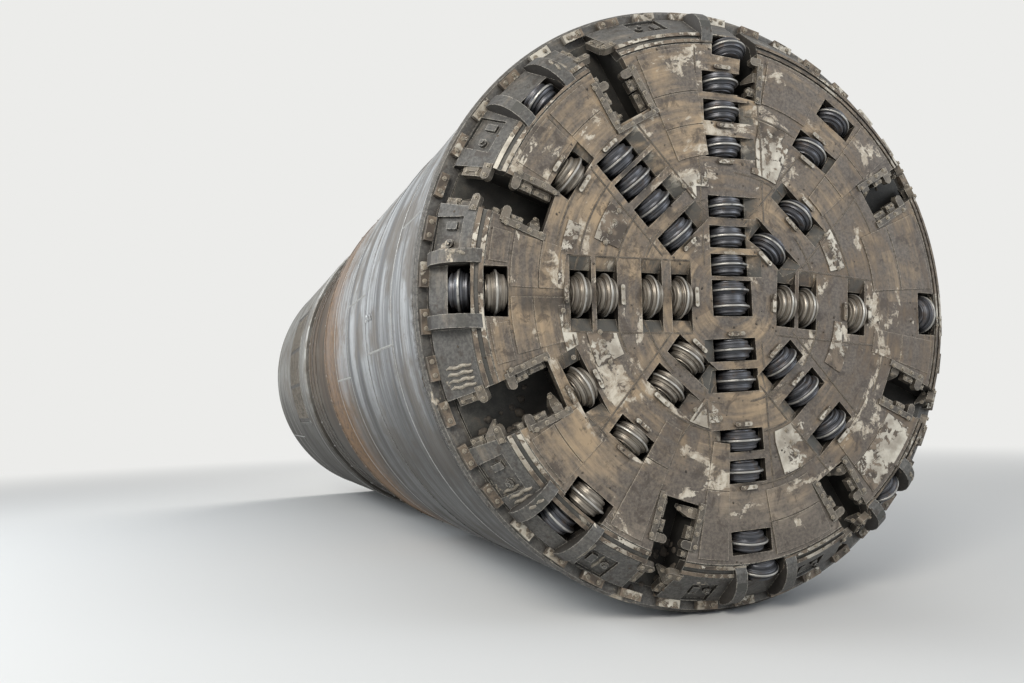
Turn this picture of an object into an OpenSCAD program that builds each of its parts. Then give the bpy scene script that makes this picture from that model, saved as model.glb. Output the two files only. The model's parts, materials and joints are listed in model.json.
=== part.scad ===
// Shielded hard-rock tunnel boring machine: the turning cutterhead with its disc cutters,
// the front shield that carries it, the telescopic section and the gripper and tail shield.
// Local axes: z forward out of the face, y up, x to the right seen from the front.
// The machine is then laid down so that the face looks along -Y and +Z is up.

/* [Cutterhead] */
// Radius over the rim of the cutterhead
head_r = 3500; // [3450:10:3600]
// Width of the bevel and its chamfer, seen from the front
bevel_w = 455; // [430:5:480]
// Width of the rim flange outside the bevel
rim_w = 140; // [120:5:150]
// How far the bevel falls back from the face
bevel_drop = 410; // [380:10:440]
// Width of the flatter chamfer between the face and the bevel
chamfer_w = 155; // [130:5:180]
// How far the chamfer falls back from the face
chamfer_drop = 60; // [40:5:80]
// Thickness of the face plate and of the bevel
plate_t = 80; // [60:5:100]
// Depth of the hollow between the face plate and the back plate
hollow_depth = 350; // [340:10:400]
// Thickness of the back plate
back_t = 60; // [40:5:80]
// Length of the rim band in front of its flange
rim_band = 70; // [50:10:90]
// Thickness of the rim flange
rim_flange_t = 80; // [60:5:90]
// Number of wear blocks round the rim
rim_blocks_n = 44; // [36:1:48]
// Height of the raised rings on the chamfer
ring_bar_t = 20; // [10:1:24]
// Depth of the recessed panels in the bevel
panel_depth = 40; // [20:5:50]
// How far the hoods round the gauge cutters stand out of the bevel
hood_t = 40; // [20:5:50]
// Thickness of the liner plates on the face
liner_t = 14; // [8:1:16]

/* [Disc cutters] */
// Radius of a cutter ring
cutter_r = 241.5; // [235:0.5:245]
// Radius of the hub beside the ring
hub_r = 190; // [185:1:200]
// Length of a hub along its shaft
hub_l = 226; // [210:2:230]
// Length of the centre cutter's hub
centre_hub_l = 380; // [340:5:390]
// Radius of a cutter shaft
shaft_r = 55; // [45:1:65]
// Running clearance between shaft and hub
shaft_fit = 0.06; // [0.03:0.01:0.1]
// How far the cutter rings stand out of the face
tip_height = 140; // [120:5:145]
// Width of a cutter pocket across the face
pocket_w = 514; // [500:2:520]
// Clearance between a hub's end and its pocket
hub_gap = 12; // [8:1:12]
// Thickness of a cutter housing's walls
housing_t = 20; // [15:1:24]
// Tilt of the cutters at the outer edge of the bevel
gauge_tilt = 32; // [30:0.5:34]
// Slope of the line that the tips follow past the edge of the face
gauge_slope = 42; // [40:0.5:44]

/* [Bucket openings] */
// Length of a bucket opening on the flat of the face
bucket_l = 575; // [550:5:590]
// Thickness of a scraper tooth
tooth_t = 72; // [60:2:76]
// Width of the wear bar along a lip
lip_bar_w = 70; // [50:5:80]
// Height of the wear bar along a lip
lip_bar_t = 22; // [10:2:24]
// How far the foot of a pick reaches back over the plate
pick_foot = 45; // [30:5:50]

/* [Shield] */
// How much smaller than the head the front shield is in radius
shield_inset = 40; // [30:5:60]
// How much smaller than the head the gripper and tail shield is in radius
rear_inset = 60; // [50:5:80]
// Thickness of the shield skins
skin_t = 60; // [50:5:70]
// Length of the front shield with its telescopic skin
front_len = 7000; // [6800:50:7200]
// Length of the front shield before its seam
front_seam = 2860; // [2700:20:2950]
// Open length of the telescopic joint
gap_len = 3500; // [3300:50:3700]
// Length of the gripper shield in front of its bulkhead
rear_len = 4225; // [4100:25:4400]
// Length of the tail behind the bulkhead
tail_len = 2950; // [2900:25:3100]
// Distance from the cutter tips back to the shield's front edge
lip_gap = 875; // [860:5:900]
// Travel of the telescopic joint
telescope_travel = 1800; // [1500:50:2000]
// Radius of a grease port in the front shield
port_r = 32; // [20:2:40]
// Clearance of the sliding rings
slide_fit = 0.5; // [0.3:0.1:0.8]

/* [Hidden] */
$fn = 180;
seam = 0.3;
seat = 0.1;

// Radii that follow the head, and the scale of the plan of cutters that was drawn for plan_r
bevel_r = head_r - rim_w;
face_r = bevel_r - bevel_w;
bucket_r = face_r - bucket_l;
shield_r = head_r - shield_inset;
rear_r = head_r - rear_inset;
plan_r = 3500;
spread = head_r / plan_r;

// The plan of the cutters: [name, angle of the row, radii of the cutter tips, sides with a sloped clearance]
plan = [
    ["n", 90, [370, 690, 1030, 1720, 2135, 2465], [-1]],
    ["ng", 87, [2940], []],
    ["nne", 55.8, [2142], [-1]],
    ["neg", 54, [2700], []],
    ["ne", 46, [812, 1382], [1, -1]],
    ["e", -5, [714, 1012, 1708], [1]],
    ["eg", -3, [2800], []],
    ["seg", -47, [3085], []],
    ["se", -48.5, [962, 1386, 1922], [-1]],
    ["sg", -85, [3060], []],
    ["s", -88, [574, 914, 1572, 1911, 2690], [-1]],
    ["sw", -131, [880, 1285, 1990, 2830], [1]],
    ["swg", -132.5, [3175], []],
    ["wsw", -152.8, [2080], [-1, 1]],
    ["w", 179.5, [645, 1008, 1545, 1845, 2800], [-1, 1]],
    ["wg", 179, [3165], []],
    ["wnw", 146.2, [2300], [-1]],
    ["nwg", 136, [3087], []],
    ["nw", 132, [960, 1365, 1700, 2000], [-1]],
];
rows = [for (row = plan) [row[0], row[1], [for (r = row[2]) r * spread], row[3]]];
// Each cutter as [name, angle, radius of its tip]
cutters = [for (row = rows) for (i = [0 : len(row[2]) - 1]) [str("cutter_", row[0], i + 1), row[1], row[2][i]]];

// Teeth of a lip: [place along the lip, width, reach over the opening, depth below the plate, shape]
BLOCK = 0;
PICK = 1;
CLAW = 2;
left_lip = [
    [20, 210, 70, 60, BLOCK],
    [250, 130, 88, 30, BLOCK],
    [400, 92, 130, -16, PICK],
];
right_lip = [
    [40, 110, 190, 20, CLAW],
    [235, 140, 66, 20, BLOCK],
    [392, 92, 118, -16, PICK],
    [498, 70, 60, 34, BLOCK],
];
// The same for the bevel's part of each lip, from the chamfer's edge outward
left_bevel = [
    [-20, 104, 132, -18, PICK],
    [110, 240, 92, 24, BLOCK],
];
right_bevel = [
    [-10, 96, 140, -18, PICK],
    [110, 110, 180, 10, CLAW],
    [240, 170, 80, 24, BLOCK],
];
// The lip of the narrow opening
narrow_lip = [
    [60, 100, 80, 30, BLOCK],
    [230, 110, 100, 10, CLAW],
    [420, 92, 98, -16, PICK],
];

// The recessed panels of the bevel: [angle, width]
panels = [
    [168.6, 380],
    [148, 400],
    [104, 420],
    [62, 420],
    [42, 280],
    [14, 440],
    [-13.5, 300],
    [-35.5, 260],
    [-71.5, 380],
    [-97.5, 320],
    [-120.5, 340],
    [-145.5, 420],
];

// The liner plates of the face: [inner radius, outer radius, first angle, last angle]
liners = [
    [1960, 2110, 158, 177],
    [1960, 2110, 183, 198],
    [1510, 1840, 190, 204],
    [1480, 1780, 144, 160],
    [1480, 2110, 64, 77],
    [1400, 1620, 14, 37],
    [1400, 1640, -31, -10],
    [1560, 2050, -74, -60],
    [1180, 1480, -121, -100],
    [1180, 1440, 101, 122],
];

// The bucket openings: [angle, radius at which it starts, width, whether a collar rounds its inner end]
buckets = [
    [159, bucket_r, 440, false],
    [120, bucket_r - 60, 440, true],
    [82.2, bucket_r, 230, false],
    [30, bucket_r - 30, 430, false],
    [-25, bucket_r - 30, 430, false],
    [-59, bucket_r - 30, 430, false],
    [-109, bucket_r - 30, 430, false],
    [-157, bucket_r, 530, false],
];

// Stations along the machine, from the bulkhead's rear face forward
rear_front_z = rear_len;
front_rear_z = rear_front_z + gap_len;
front_z = front_rear_z + front_len;
tip_z = front_z + lip_gap;
face_z = tip_z - tip_height;
plate_back_z = face_z - plate_t;
back_z = plate_back_z - hollow_depth;
back_rear_z = back_z - back_t;
bevel_z = face_z - bevel_drop;
flange_z = bevel_z - rim_band;
flange_rear_z = flange_z - rim_flange_t;

// The chamfer, the bevel's slope, and its inner surface one plate thickness inside
chamfer_r = face_r + chamfer_w;
chamfer_z = face_z - chamfer_drop;
bevel_ang = atan2(bevel_drop - chamfer_drop, bevel_r - chamfer_r);
bevel_in = plate_t / cos(bevel_ang);
inner_r = chamfer_r + (chamfer_z - bevel_in - back_z) / tan(bevel_ang);

// The raised rings on the chamfer: [inner radius, outer radius]
ring_bars = [
    [face_r + 16, face_r + 58],
    [chamfer_r - 52, chamfer_r - 10],
];

// Cutters lean outward past this radius
lean_r = face_r - 405;
shoulder_r = face_r + tip_height * sin(gauge_slope);
shoulder_fall = tip_height * (1 - cos(gauge_slope));

function tip_fall(r) =
    r < lean_r ? 0
    : r < shoulder_r ? shoulder_fall * (r - lean_r) / (shoulder_r - lean_r)
    : shoulder_fall + (r - shoulder_r) * tan(gauge_slope);
function on_chamfer(r) = face_z - (r - face_r) * chamfer_drop / chamfer_w;
function lean(r) = r < lean_r ? 0 : gauge_tilt * (r - lean_r) / (bevel_r - lean_r);

hub_bore_r = shaft_r + shaft_fit;
pocket_l = hub_l + 2 * hub_gap;
centre_pocket_l = centre_hub_l + 2 * hub_gap;
centre_z = tip_z - cutter_r;
ring_half = 42;
ring_tip = 11;
ring_foot = 14;
hub_end_r = 150;
hub_shoulder = 16;
ramp_l = 150;
ramp_depth = 60;
pocket_deep = 700;
chute_t = 30;
hood_w = 140;
tooth_step = 14;
lip_bar_start = 30;
collar_w = 54;
collar_t = 40;
claw_deep = 150;
narrow_w = 300;
lip_end = 120;
saddle_room = 90;
sweep_gap = 14;
centre_room = 500;
rim_block_w = 260;
rim_block_t = 90;
flange_edge = 30;
slot_reach = 1500;
housing_room = 250;
oval_w = 46;
oval_l = 170;
oval_t = 34;
panel_step = 70;
lug_l = 130;
lug_w = 80;
lug_t = 36;
boss_r = 46;
boss_t = 34;
stud_r = 26;
stud_l = 62;
hood_set = 60;
hood_crown = 40;
hood_step = 12;
hood_lift = 20;
hood_gap = 1;
one_hood = "cutter_ng1";
panel_start = 130;
panel_l = 330;

// Bearing and drive
journal_r = 1500 * spread;
journal_fit = 0.08;
journal_wall = 180;
bearing_wall = 380;
bulkhead_t = 80;
bulkhead_drop = 640;
bearing_l = 900;
bearing_lip = 120;
frame_ring_l = 560;
frame_ring_t = 70;
journal_end_z = front_z - bulkhead_drop - bearing_l + bearing_lip;
motor_r = 250;
motor_l = 1500;
motor_pcr = 2450 * spread;
motor_n = 10;

// Telescopic joint
inner_gap = 55;
inner_skin_r = shield_r - skin_t - inner_gap;
inner_lap = telescope_travel + 600;
root_lap = 600;
wiper_w = 220;
groove_w = 16;
groove_t = 10;
port_angles = [178, 58, -2, -62];
port_n = 3;
port_pitch = 160;
edge_bevel = 25;

// Gripper shoes in their windows
shoe_half_ang = 22;
shoe_z = 900;
shoe_l = 2300;
shoe_gap = 15;
shoe_t = 140;
shoe_travel = 150;
shoe_rod_r = 170;
shoe_rod_y = 800;
guide_x = rear_r - 1090;
guide_t = 90;
guide_r = 260;
guide_edge = 100;
shoe_rod_set = 100;
guide_l = shoe_travel + 350;

// Rear bulkhead, bolt circle and thrust rams
bulkhead_rear_t = 90;
bolt_ring_w = 150;
bolt_ring_t = 60;
conveyor_r = 1150 * spread;
bolt_pcr = conveyor_r + 450;
bolt_n = 24;
bolt_r = 26;
ram_n = 14;
ram_pcr = rear_r - 380;
ram_r = 150;
ram_l = 1500;
ram_rod_r = 95;
ram_rod_l = 520;
ram_shoe_t = 180;
ram_shoe_w = 560;
ram_shoe_h = 360;

// Lays the machine down: local z becomes -Y and local y becomes Z
module laid() {
    rotate([90, 0, 0]) children();
}

// Puts children at a cutter: x along its shaft, z out of the face
module at_cutter(angle, r) {
    t = lean(r);
    rotate([0, 0, angle])
        translate([r - cutter_r * sin(t), 0, tip_z - tip_fall(r) - cutter_r * cos(t)])
            rotate([0, t, 0]) children();
}

module at_centre() {
    translate([0, 0, centre_z]) rotate([0, 0, 90]) children();
}

// Puts children on the bevel: x down its slope from the chamfer's edge, z out of it
module at_bevel(angle) {
    rotate([0, 0, angle]) translate([chamfer_r, 0, chamfer_z]) rotate([0, bevel_ang, 0]) children();
}

module disc(r, z0, z1) {
    translate([0, 0, z0]) cylinder(r = r, h = z1 - z0, $fn = 360);
}

module tube(r, wall, z0, z1) {
    translate([0, 0, z0]) difference() {
        cylinder(r = r, h = z1 - z0);
        translate([0, 0, -1]) cylinder(r = r - wall, h = z1 - z0 + 2);
    }
}

// A hub with one ring, or two for the centre cutter, turned about the shaft
function ring_side(x, s) = [
    [x - s * ring_half, hub_r], [x - s * ring_half, hub_r + ring_foot], [x - s * ring_tip, cutter_r - 6],
    [x - s * ring_tip * 0.6, cutter_r], [x + s * ring_tip * 0.6, cutter_r], [x + s * ring_tip, cutter_r - 6],
    [x + s * ring_half, hub_r + ring_foot], [x + s * ring_half, hub_r],
];

module cutter_solid(l, rings) {
    outline = concat(
        [[-l / 2, hub_bore_r], [-l / 2, hub_end_r], [-l / 2 + hub_shoulder, hub_end_r + 18],
            [-l / 2 + hub_shoulder, hub_r - 10], [-l / 2 + hub_shoulder + 10, hub_r]],
        [for (x = rings) for (p = ring_side(x, 1)) p],
        [[l / 2 - hub_shoulder - 10, hub_r], [l / 2 - hub_shoulder, hub_r - 10],
            [l / 2 - hub_shoulder, hub_end_r + 18], [l / 2, hub_end_r], [l / 2, hub_bore_r]]
    );
    rotate([0, 90, 0]) rotate_extrude() polygon([for (p = outline) [p[1], p[0]]]);
}

module pocket(l, deep) {
    translate([-l / 2, -pocket_w / 2, -deep]) cube([l, pocket_w, deep + cutter_r + 60]);
}

// The pockets of all cutters whose tips run outside a radius
module pockets_past(least_r) {
    for (c = cutters) if (c[2] > least_r) at_cutter(c[1], c[2]) pocket(pocket_l, pocket_deep);
}

module pockets() {
    pockets_past(0);
    at_centre() pocket(centre_pocket_l, pocket_deep);
}

module housing_blocks() {
    wall = 2 * housing_t;
    for (c = cutters) at_cutter(c[1], c[2])
        translate([-(pocket_l + wall) / 2, -(pocket_w + wall) / 2, -pocket_deep])
            cube([pocket_l + wall, pocket_w + wall, 2 * pocket_deep]);
    at_centre() translate([-(centre_pocket_l + wall) / 2, -(pocket_w + wall) / 2, -pocket_deep])
        cube([centre_pocket_l + wall, pocket_w + wall, 2 * pocket_deep]);
    for (b = buckets) rotate([0, 0, b[0]]) for (side = [-1, 1])
        translate([b[1] - housing_room, side * (b[2] + chute_t) / 2 - chute_t / 2, back_z])
            cube([head_r, chute_t, head_r]);
}

// Space behind the face plate and inside the bevel, in front of the back plate
module hollow() {
    rotate_extrude() polygon([
        [0, plate_back_z - seam], [face_r - seam, plate_back_z - seam],
        [face_r - seam, face_z - bevel_in - seam], [chamfer_r - seam, chamfer_z - bevel_in - seam],
        [inner_r - seam, back_z + seam], [0, back_z + seam],
    ]);
}

module bucket_slots() {
    for (b = buckets) rotate([0, 0, b[0]])
        translate([b[1], -b[2] / 2, flange_z - seam / 2]) cube([slot_reach, b[2], slot_reach]);
}

// Sloped clearances beside the pockets, where the chips leave
module ramps() {
    for (row = rows) for (r = row[2]) for (side = row[3])
        if (r < face_r - pocket_w) rotate([0, 0, row[1]])
            translate([r - pocket_l / 2, side * pocket_w / 2, face_z])
            mirror([0, side > 0 ? 0 : 1, 0]) rotate([90, 0, 90]) linear_extrude(pocket_l)
                polygon([[-1, 1], [-1, -ramp_depth], [0, -ramp_depth], [ramp_l, 1]]);
}

module face_plate() {
    color([0.52, 0.46, 0.38]) difference() {
        disc(face_r - seam, plate_back_z, face_z);
        pockets();
        bucket_slots();
        ramps();
    }
}

// Thick plates that stand on the bevel on both sides of each gauge cutter, rounded over its shoulder
module hoods() {
    round_r = bevel_drop + hood_t;
    hood_r = chamfer_r - hood_set;
    hood_in = face_r + hood_step;
    foot_z = bevel_z + hood_lift;
    foot_r = bevel_r - (hood_lift - seat) / tan(bevel_ang);
    intersection() {
        for (c = cutters) if (c[2] > face_r) rotate([0, 0, c[1]]) for (side = c[0] == one_hood ? [1] : [-1, 1])
            translate([face_r, side * ((pocket_w + hood_w) / 2 + hood_gap) - hood_w / 2, flange_z])
                cube([head_r - face_r, hood_w, face_z]);
        rotate_extrude() polygon(concat(
            [[foot_r, foot_z], [chamfer_r, chamfer_z + seat], [hood_in, on_chamfer(hood_in) + seat]],
            [[hood_in, bevel_z + round_r - hood_t]],
            [for (a = [0 : 15 : 90]) [
                hood_r + (bevel_r + hood_t - hood_r) * sin(a),
                foot_z + (round_r - hood_crown) * cos(a),
            ]]
        ));
    }
}

// Recesses in the bevel between the openings, each with its lifting block
module panel_cuts() {
    for (p = panels) at_bevel(p[0]) translate([panel_start, -p[1] * spread / 2, -panel_depth])
        cube([panel_l, p[1] * spread, panel_depth + plate_t]);
}

module panel_fittings() {
    for (p = panels) at_bevel(p[0]) translate([panel_start + panel_step, 0, -panel_depth - 1]) {
        translate([0, -p[1] / 4 - lug_w / 2, 0]) cube([lug_l, lug_w, lug_t]);
        translate([lug_l / 2, p[1] / 4, 0]) cylinder(r = boss_r, h = boss_t, $fn = 32);
        translate([lug_l / 2, p[1] / 4, 0]) cylinder(r = stud_r, h = stud_l, $fn = 32);
    }
}

module gauge_ring() {
    color([0.47, 0.43, 0.37]) difference() {
        union() {
            difference() {
                rotate_extrude() polygon([
                    [face_r, face_z], [chamfer_r, chamfer_z], [bevel_r, bevel_z], [bevel_r, flange_z],
                    [inner_r, flange_z], [inner_r, back_z], [chamfer_r, chamfer_z - bevel_in],
                    [face_r, face_z - bevel_in],
                ]);
                panel_cuts();
            }
            panel_fittings();
        }
        pockets_past(face_r - pocket_w);
        bucket_slots();
    }
    color([0.47, 0.43, 0.37]) difference() {
        hoods();
        pockets_past(face_r - pocket_w);
        bucket_slots();
    }
    color([0.47, 0.43, 0.37]) difference() {
        rotate_extrude() polygon([
            [inner_r, flange_z - seam], [head_r - flange_edge, flange_z - seam],
            [head_r, flange_z - seam - flange_edge],
            [head_r, flange_rear_z], [inner_r, flange_rear_z],
        ]);
        pockets_past(face_r - pocket_w);
    }
}

module cutter_housings() {
    color([0.30, 0.31, 0.30]) difference() {
        intersection() {
            housing_blocks();
            hollow();
        }
        pockets();
        bucket_slots();
    }
}

module cutter_shafts() {
    color([0.36, 0.36, 0.37]) {
        for (c = cutters) at_cutter(c[1], c[2]) translate([-pocket_l / 2, 0, 0])
            rotate([0, 90, 0]) cylinder(r = shaft_r, h = pocket_l);
        at_centre() translate([-centre_pocket_l / 2, 0, 0])
            rotate([0, 90, 0]) cylinder(r = shaft_r, h = centre_pocket_l);
    }
}

// A scraper tooth on a lip: x along the lip, y over the opening, z out of the plate
module tooth(w, reach, down, shape) {
    if (shape == BLOCK) {
        translate([0, seam, -down - tooth_t]) cube([w, reach, tooth_t]);
        translate([w / 6, seam, -down - tooth_t]) cube([w / 1.5, reach / 2, tooth_t + tooth_step]);
    }
    if (shape == PICK) {
        translate([0, seam, -down - tooth_t]) linear_extrude(tooth_t) {
            square([w, reach - w / 2]);
            translate([w / 2, reach - w / 2]) circle(r = w / 2, $fn = 32);
        }
        translate([0, -pick_foot, 0]) cube([w, pick_foot + seam, -down]);
    }
    if (shape == CLAW) intersection() {
        rotate([90, 0, 90]) linear_extrude(w) polygon([
            [seam, -down], [reach * 0.3, -down - 6], [reach, -down - claw_deep],
            [reach * 0.8, -down - claw_deep], [seam, -down - claw_deep * 0.7],
        ]);
        translate([0, 0, -down - claw_deep]) linear_extrude(claw_deep)
            polygon([[0, 0], [w, 0], [w, reach * 0.4], [w * 0.35, reach], [0, reach]]);
    }
}

module lip(teeth) {
    for (t = teeth) translate([t[0], 0, 0]) tooth(t[1], t[2], t[3], t[4]);
}

// Puts children on one lip of an opening of width w, y towards the opening's middle
module on_lip(side, w) {
    translate([0, side * w / 2, 0]) mirror([0, side > 0 ? 1 : 0, 0]) children();
}

// How far the bevel's cone lies below its tangent plane at the lips of an opening of width w
function lip_sink(w) = w * w / (8 * bevel_r) * sin(bevel_ang);

// Raised rim across the inner end of an opening
module collars() {
    for (b = buckets) if (b[3]) rotate([0, 0, b[0]])
        translate([b[1] - lip_bar_start - collar_w, -b[2] / 2 - lip_bar_w, face_z + seat])
            cube([collar_w - 1, b[2] + 2 * lip_bar_w, collar_t]);
}

module lips() {
    for (b = buckets) for (side = b[2] > narrow_w ? [-1, 1] : [-1]) {
        rotate([0, 0, b[0]]) on_lip(side, b[2]) translate([b[1], 0, face_z + seat]) {
            lip(b[2] <= narrow_w ? narrow_lip : side > 0 ? right_lip : left_lip);
            translate([-lip_bar_start, -lip_bar_w - 2, 0])
                cube([face_r - lip_end - b[1] + lip_bar_start, lip_bar_w, lip_bar_t]);
        }
        if (b[2] > narrow_w) at_bevel(b[0]) translate([0, 0, seat - lip_sink(b[2])])
            on_lip(side, b[2]) lip(side > 0 ? right_bevel : left_bevel);
    }
}

module scraper_teeth() {
    color([0.42, 0.41, 0.38]) difference() {
        union() {
            lips();
            collars();
        }
        pockets();
        hoods();
        disc(head_r, flange_rear_z, back_z + seam);
    }
}

module oval_block() {
    linear_extrude(oval_t) union() {
        square([oval_w, oval_l], center = true);
        for (s = [-1, 1]) translate([0, s * oval_l / 2]) circle(r = oval_w / 2, $fn = 24);
    }
}

// Saddles at the free ends of each cutter's shaft, on the flat of the face
module saddles() {
    off = pocket_l / 2 + housing_t + 30;
    for (row = rows) for (i = [0 : len(row[2]) - 1]) {
        r = row[2][i];
        inner_free = i == 0 ? r > centre_room : r - row[2][i - 1] > 2 * off + 60;
        outer_free = i == len(row[2]) - 1 || row[2][i + 1] - r > 4 * off;
        rotate([0, 0, row[1]]) {
            if (inner_free && r < lean_r) translate([r - off, 0, face_z + seat]) oval_block();
            if (outer_free && r + off < face_r - lip_end) translate([r + off, 0, face_z + seat]) oval_block();
        }
    }
}

// Liner plates on the face, cut clear of the pockets and the lips' wear bars
module liner_plates() {
    difference() {
        for (l = liners) rotate([0, 0, l[2]]) translate([0, 0, face_z + seat])
            rotate_extrude(angle = l[3] - l[2])
                translate([l[0] * spread, 0]) square([(l[1] - l[0]) * spread, liner_t]);
        for (c = cutters) at_cutter(c[1], c[2])
            translate([-pocket_l / 2 - saddle_room, -pocket_w / 2 - ramp_l, 0])
                cube([pocket_l + 2 * saddle_room, pocket_w + 2 * ramp_l, 2 * cutter_r]);
    }
}

// The raised rings on the chamfer, broken by the openings and the gauge cutters' hoods
module chamfer_rings() {
    difference() {
        for (b = ring_bars) rotate_extrude() polygon([
            [b[0], on_chamfer(b[0]) + seat], [b[0], on_chamfer(b[0]) + ring_bar_t],
            [b[1], on_chamfer(b[1]) + ring_bar_t], [b[1], on_chamfer(b[1]) + seat],
        ]);
        pockets_past(face_r - pocket_w);
        bucket_slots();
        hoods();
    }
}

module wear_blocks() {
    color([0.62, 0.58, 0.50]) {
        saddles();
        liner_plates();
        chamfer_rings();
        for (i = [0 : rim_blocks_n - 1]) rotate([0, 0, (i + 0.5) * 360 / rim_blocks_n])
            translate([bevel_r + 2, -rim_block_w / 2, flange_z]) cube([rim_block_t, rim_block_w, rim_band]);
    }
}

// The room that the leaning cutters sweep as they turn
module gauge_sweeps() {
    for (c = cutters) if (c[2] > lean_r) at_cutter(c[1], c[2]) rotate([0, 90, 0])
        cylinder(r = cutter_r + sweep_gap, h = pocket_l, center = true);
}

module head_frame() {
    color([0.33, 0.31, 0.28]) {
        difference() {
            disc(inner_r - seam, back_rear_z, back_z);
            gauge_sweeps();
        }
        difference() {
            tube(inner_r - seam, frame_ring_t, back_rear_z - frame_ring_l, back_rear_z - seam);
            gauge_sweeps();
        }
        tube(journal_r, journal_wall, journal_end_z, back_rear_z - seam);
    }
}

module front_skin() {
    color([0.66, 0.67, 0.66]) difference() {
        front_shell();
        for (angle = port_angles) for (i = [0 : port_n - 1]) rotate([0, 0, angle])
            translate([shield_r - skin_t / 2, 0, front_z - front_seam + (i + 1) * port_pitch])
                rotate([0, 90, 0]) cylinder(r = port_r, h = skin_t, $fn = 32);
    }
}

module front_shell() {
    rotate_extrude() polygon([
        [shield_r - skin_t, front_z], [shield_r - edge_bevel, front_z], [shield_r, front_z - edge_bevel],
        [shield_r, front_z - front_seam], [shield_r - groove_t, front_z - front_seam],
        [shield_r - groove_t, front_z - front_seam - groove_w], [shield_r, front_z - front_seam - groove_w],
        [shield_r, front_rear_z], [inner_skin_r + slide_fit, front_rear_z],
        [inner_skin_r + slide_fit, front_rear_z + wiper_w], [shield_r - skin_t, front_rear_z + wiper_w],
    ]);
}

module front_bulkhead() {
    hole_r = journal_r + journal_fit;
    z0 = front_z - bulkhead_drop;
    color([0.40, 0.38, 0.34]) {
        difference() {
            union() {
                disc(shield_r - skin_t - seam, z0 - bulkhead_t, z0);
                disc(journal_r + bearing_wall, z0 - bearing_l, z0 + bearing_lip);
            }
            disc(hole_r, z0 - bearing_l - 1, z0 + bearing_lip + 1);
        }
        for (i = [0 : motor_n - 1]) rotate([0, 0, i * 360 / motor_n])
            translate([motor_pcr, 0, z0 - bulkhead_t - motor_l - seam]) cylinder(r = motor_r, h = motor_l);
    }
}

module inner_skin() {
    color([0.30, 0.26, 0.22])
        tube(inner_skin_r, skin_t, rear_front_z - root_lap, front_rear_z + inner_lap);
}

module shoe_window(gap) {
    half = shoe_half_ang + gap / rear_r * 180 / PI;
    for (side = [0, 180]) rotate([0, 0, side - half]) translate([0, 0, shoe_z - gap])
        rotate_extrude(angle = 2 * half) translate([rear_r - 400, 0]) square([800, shoe_l + 2 * gap]);
}

module rear_skin() {
    color([0.60, 0.60, 0.58]) difference() {
        rotate_extrude() polygon([
            [inner_skin_r + seam, rear_front_z], [rear_r - edge_bevel, rear_front_z],
            [rear_r, rear_front_z - edge_bevel], [rear_r, groove_w], [rear_r - groove_t, groove_w],
            [rear_r - groove_t, 0], [rear_r, 0], [rear_r, -tail_len], [rear_r - skin_t, -tail_len],
            [rear_r - skin_t, rear_front_z - 300], [inner_skin_r + seam, rear_front_z - 300],
        ]);
        shoe_window(shoe_gap);
    }
}

module rear_bulkhead() {
    color([0.40, 0.38, 0.34]) difference() {
        union() {
            disc(rear_r - skin_t - seam, 0, bulkhead_rear_t);
            disc(bolt_pcr + bolt_ring_w, 0, bulkhead_rear_t + bolt_ring_t);
        }
        disc(conveyor_r, -1, bulkhead_rear_t + bolt_ring_t + 1);
        for (i = [0 : bolt_n - 1]) rotate([0, 0, (i + 0.5) * 360 / bolt_n])
            translate([bolt_pcr, 0, -1]) cylinder(r = bolt_r, h = bulkhead_rear_t + bolt_ring_t + 2, $fn = 32);
    }
}

module thrust_rams() {
    color([0.50, 0.50, 0.48]) for (i = [0 : ram_n - 1]) rotate([0, 0, (i + 0.5) * 360 / ram_n])
        translate([ram_pcr, 0, 0]) {
            translate([0, 0, -ram_l]) cylinder(r = ram_r, h = ram_l);
            translate([0, 0, -ram_l - ram_rod_l]) cylinder(r = ram_rod_r, h = ram_rod_l + 1);
            translate([-ram_shoe_h / 2, -ram_shoe_w / 2, -ram_l - ram_rod_l - ram_shoe_t])
                cube([ram_shoe_h, ram_shoe_w, ram_shoe_t + 1]);
        }
}

module gripper_shoe() {
    mid_z = shoe_z + shoe_l / 2;
    rotate([0, 0, -shoe_half_ang]) translate([0, 0, shoe_z])
        rotate_extrude(angle = 2 * shoe_half_ang) translate([rear_r - shoe_t, 0]) square([shoe_t, shoe_l]);
    for (side = [-1, 1]) translate([guide_x - guide_l, side * shoe_rod_y, mid_z])
        rotate([0, 90, 0]) cylinder(r = shoe_rod_r, h = rear_r - shoe_t / 2 - guide_x + guide_l - shoe_rod_set);
}

module gripper_shoe_right() {
    color([0.50, 0.49, 0.46]) gripper_shoe();
}

module gripper_shoe_left() {
    color([0.50, 0.49, 0.46]) rotate([0, 0, 180]) gripper_shoe();
}

module gripper_guides() {
    mid_z = shoe_z + shoe_l / 2;
    color([0.36, 0.35, 0.33]) for (turn = [0, 180]) rotate([0, 0, turn]) difference() {
        union() {
            intersection() {
                translate([guide_x - guide_t / 2, -rear_r, shoe_z - guide_edge])
                    cube([guide_t, 2 * rear_r, shoe_l + 2 * guide_edge]);
                disc(rear_r - skin_t - seam, 0, rear_len);
            }
            for (side = [-1, 1]) translate([guide_x - guide_l, side * shoe_rod_y, mid_z])
                rotate([0, 90, 0]) cylinder(r = guide_r, h = guide_l);
        }
        for (side = [-1, 1]) translate([guide_x - guide_l - 1, side * shoe_rod_y, mid_z])
            rotate([0, 90, 0]) cylinder(r = shoe_rod_r + slide_fit, h = guide_l + guide_t);
    }
}

module centre_cutter() {
    color([0.24, 0.25, 0.27]) at_centre() cutter_solid(centre_hub_l, [-95, 85]);
}

module cutter(c) {
    color([0.24, 0.25, 0.27]) at_cutter(c[1], c[2]) cutter_solid(hub_l, [0]);
}

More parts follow.
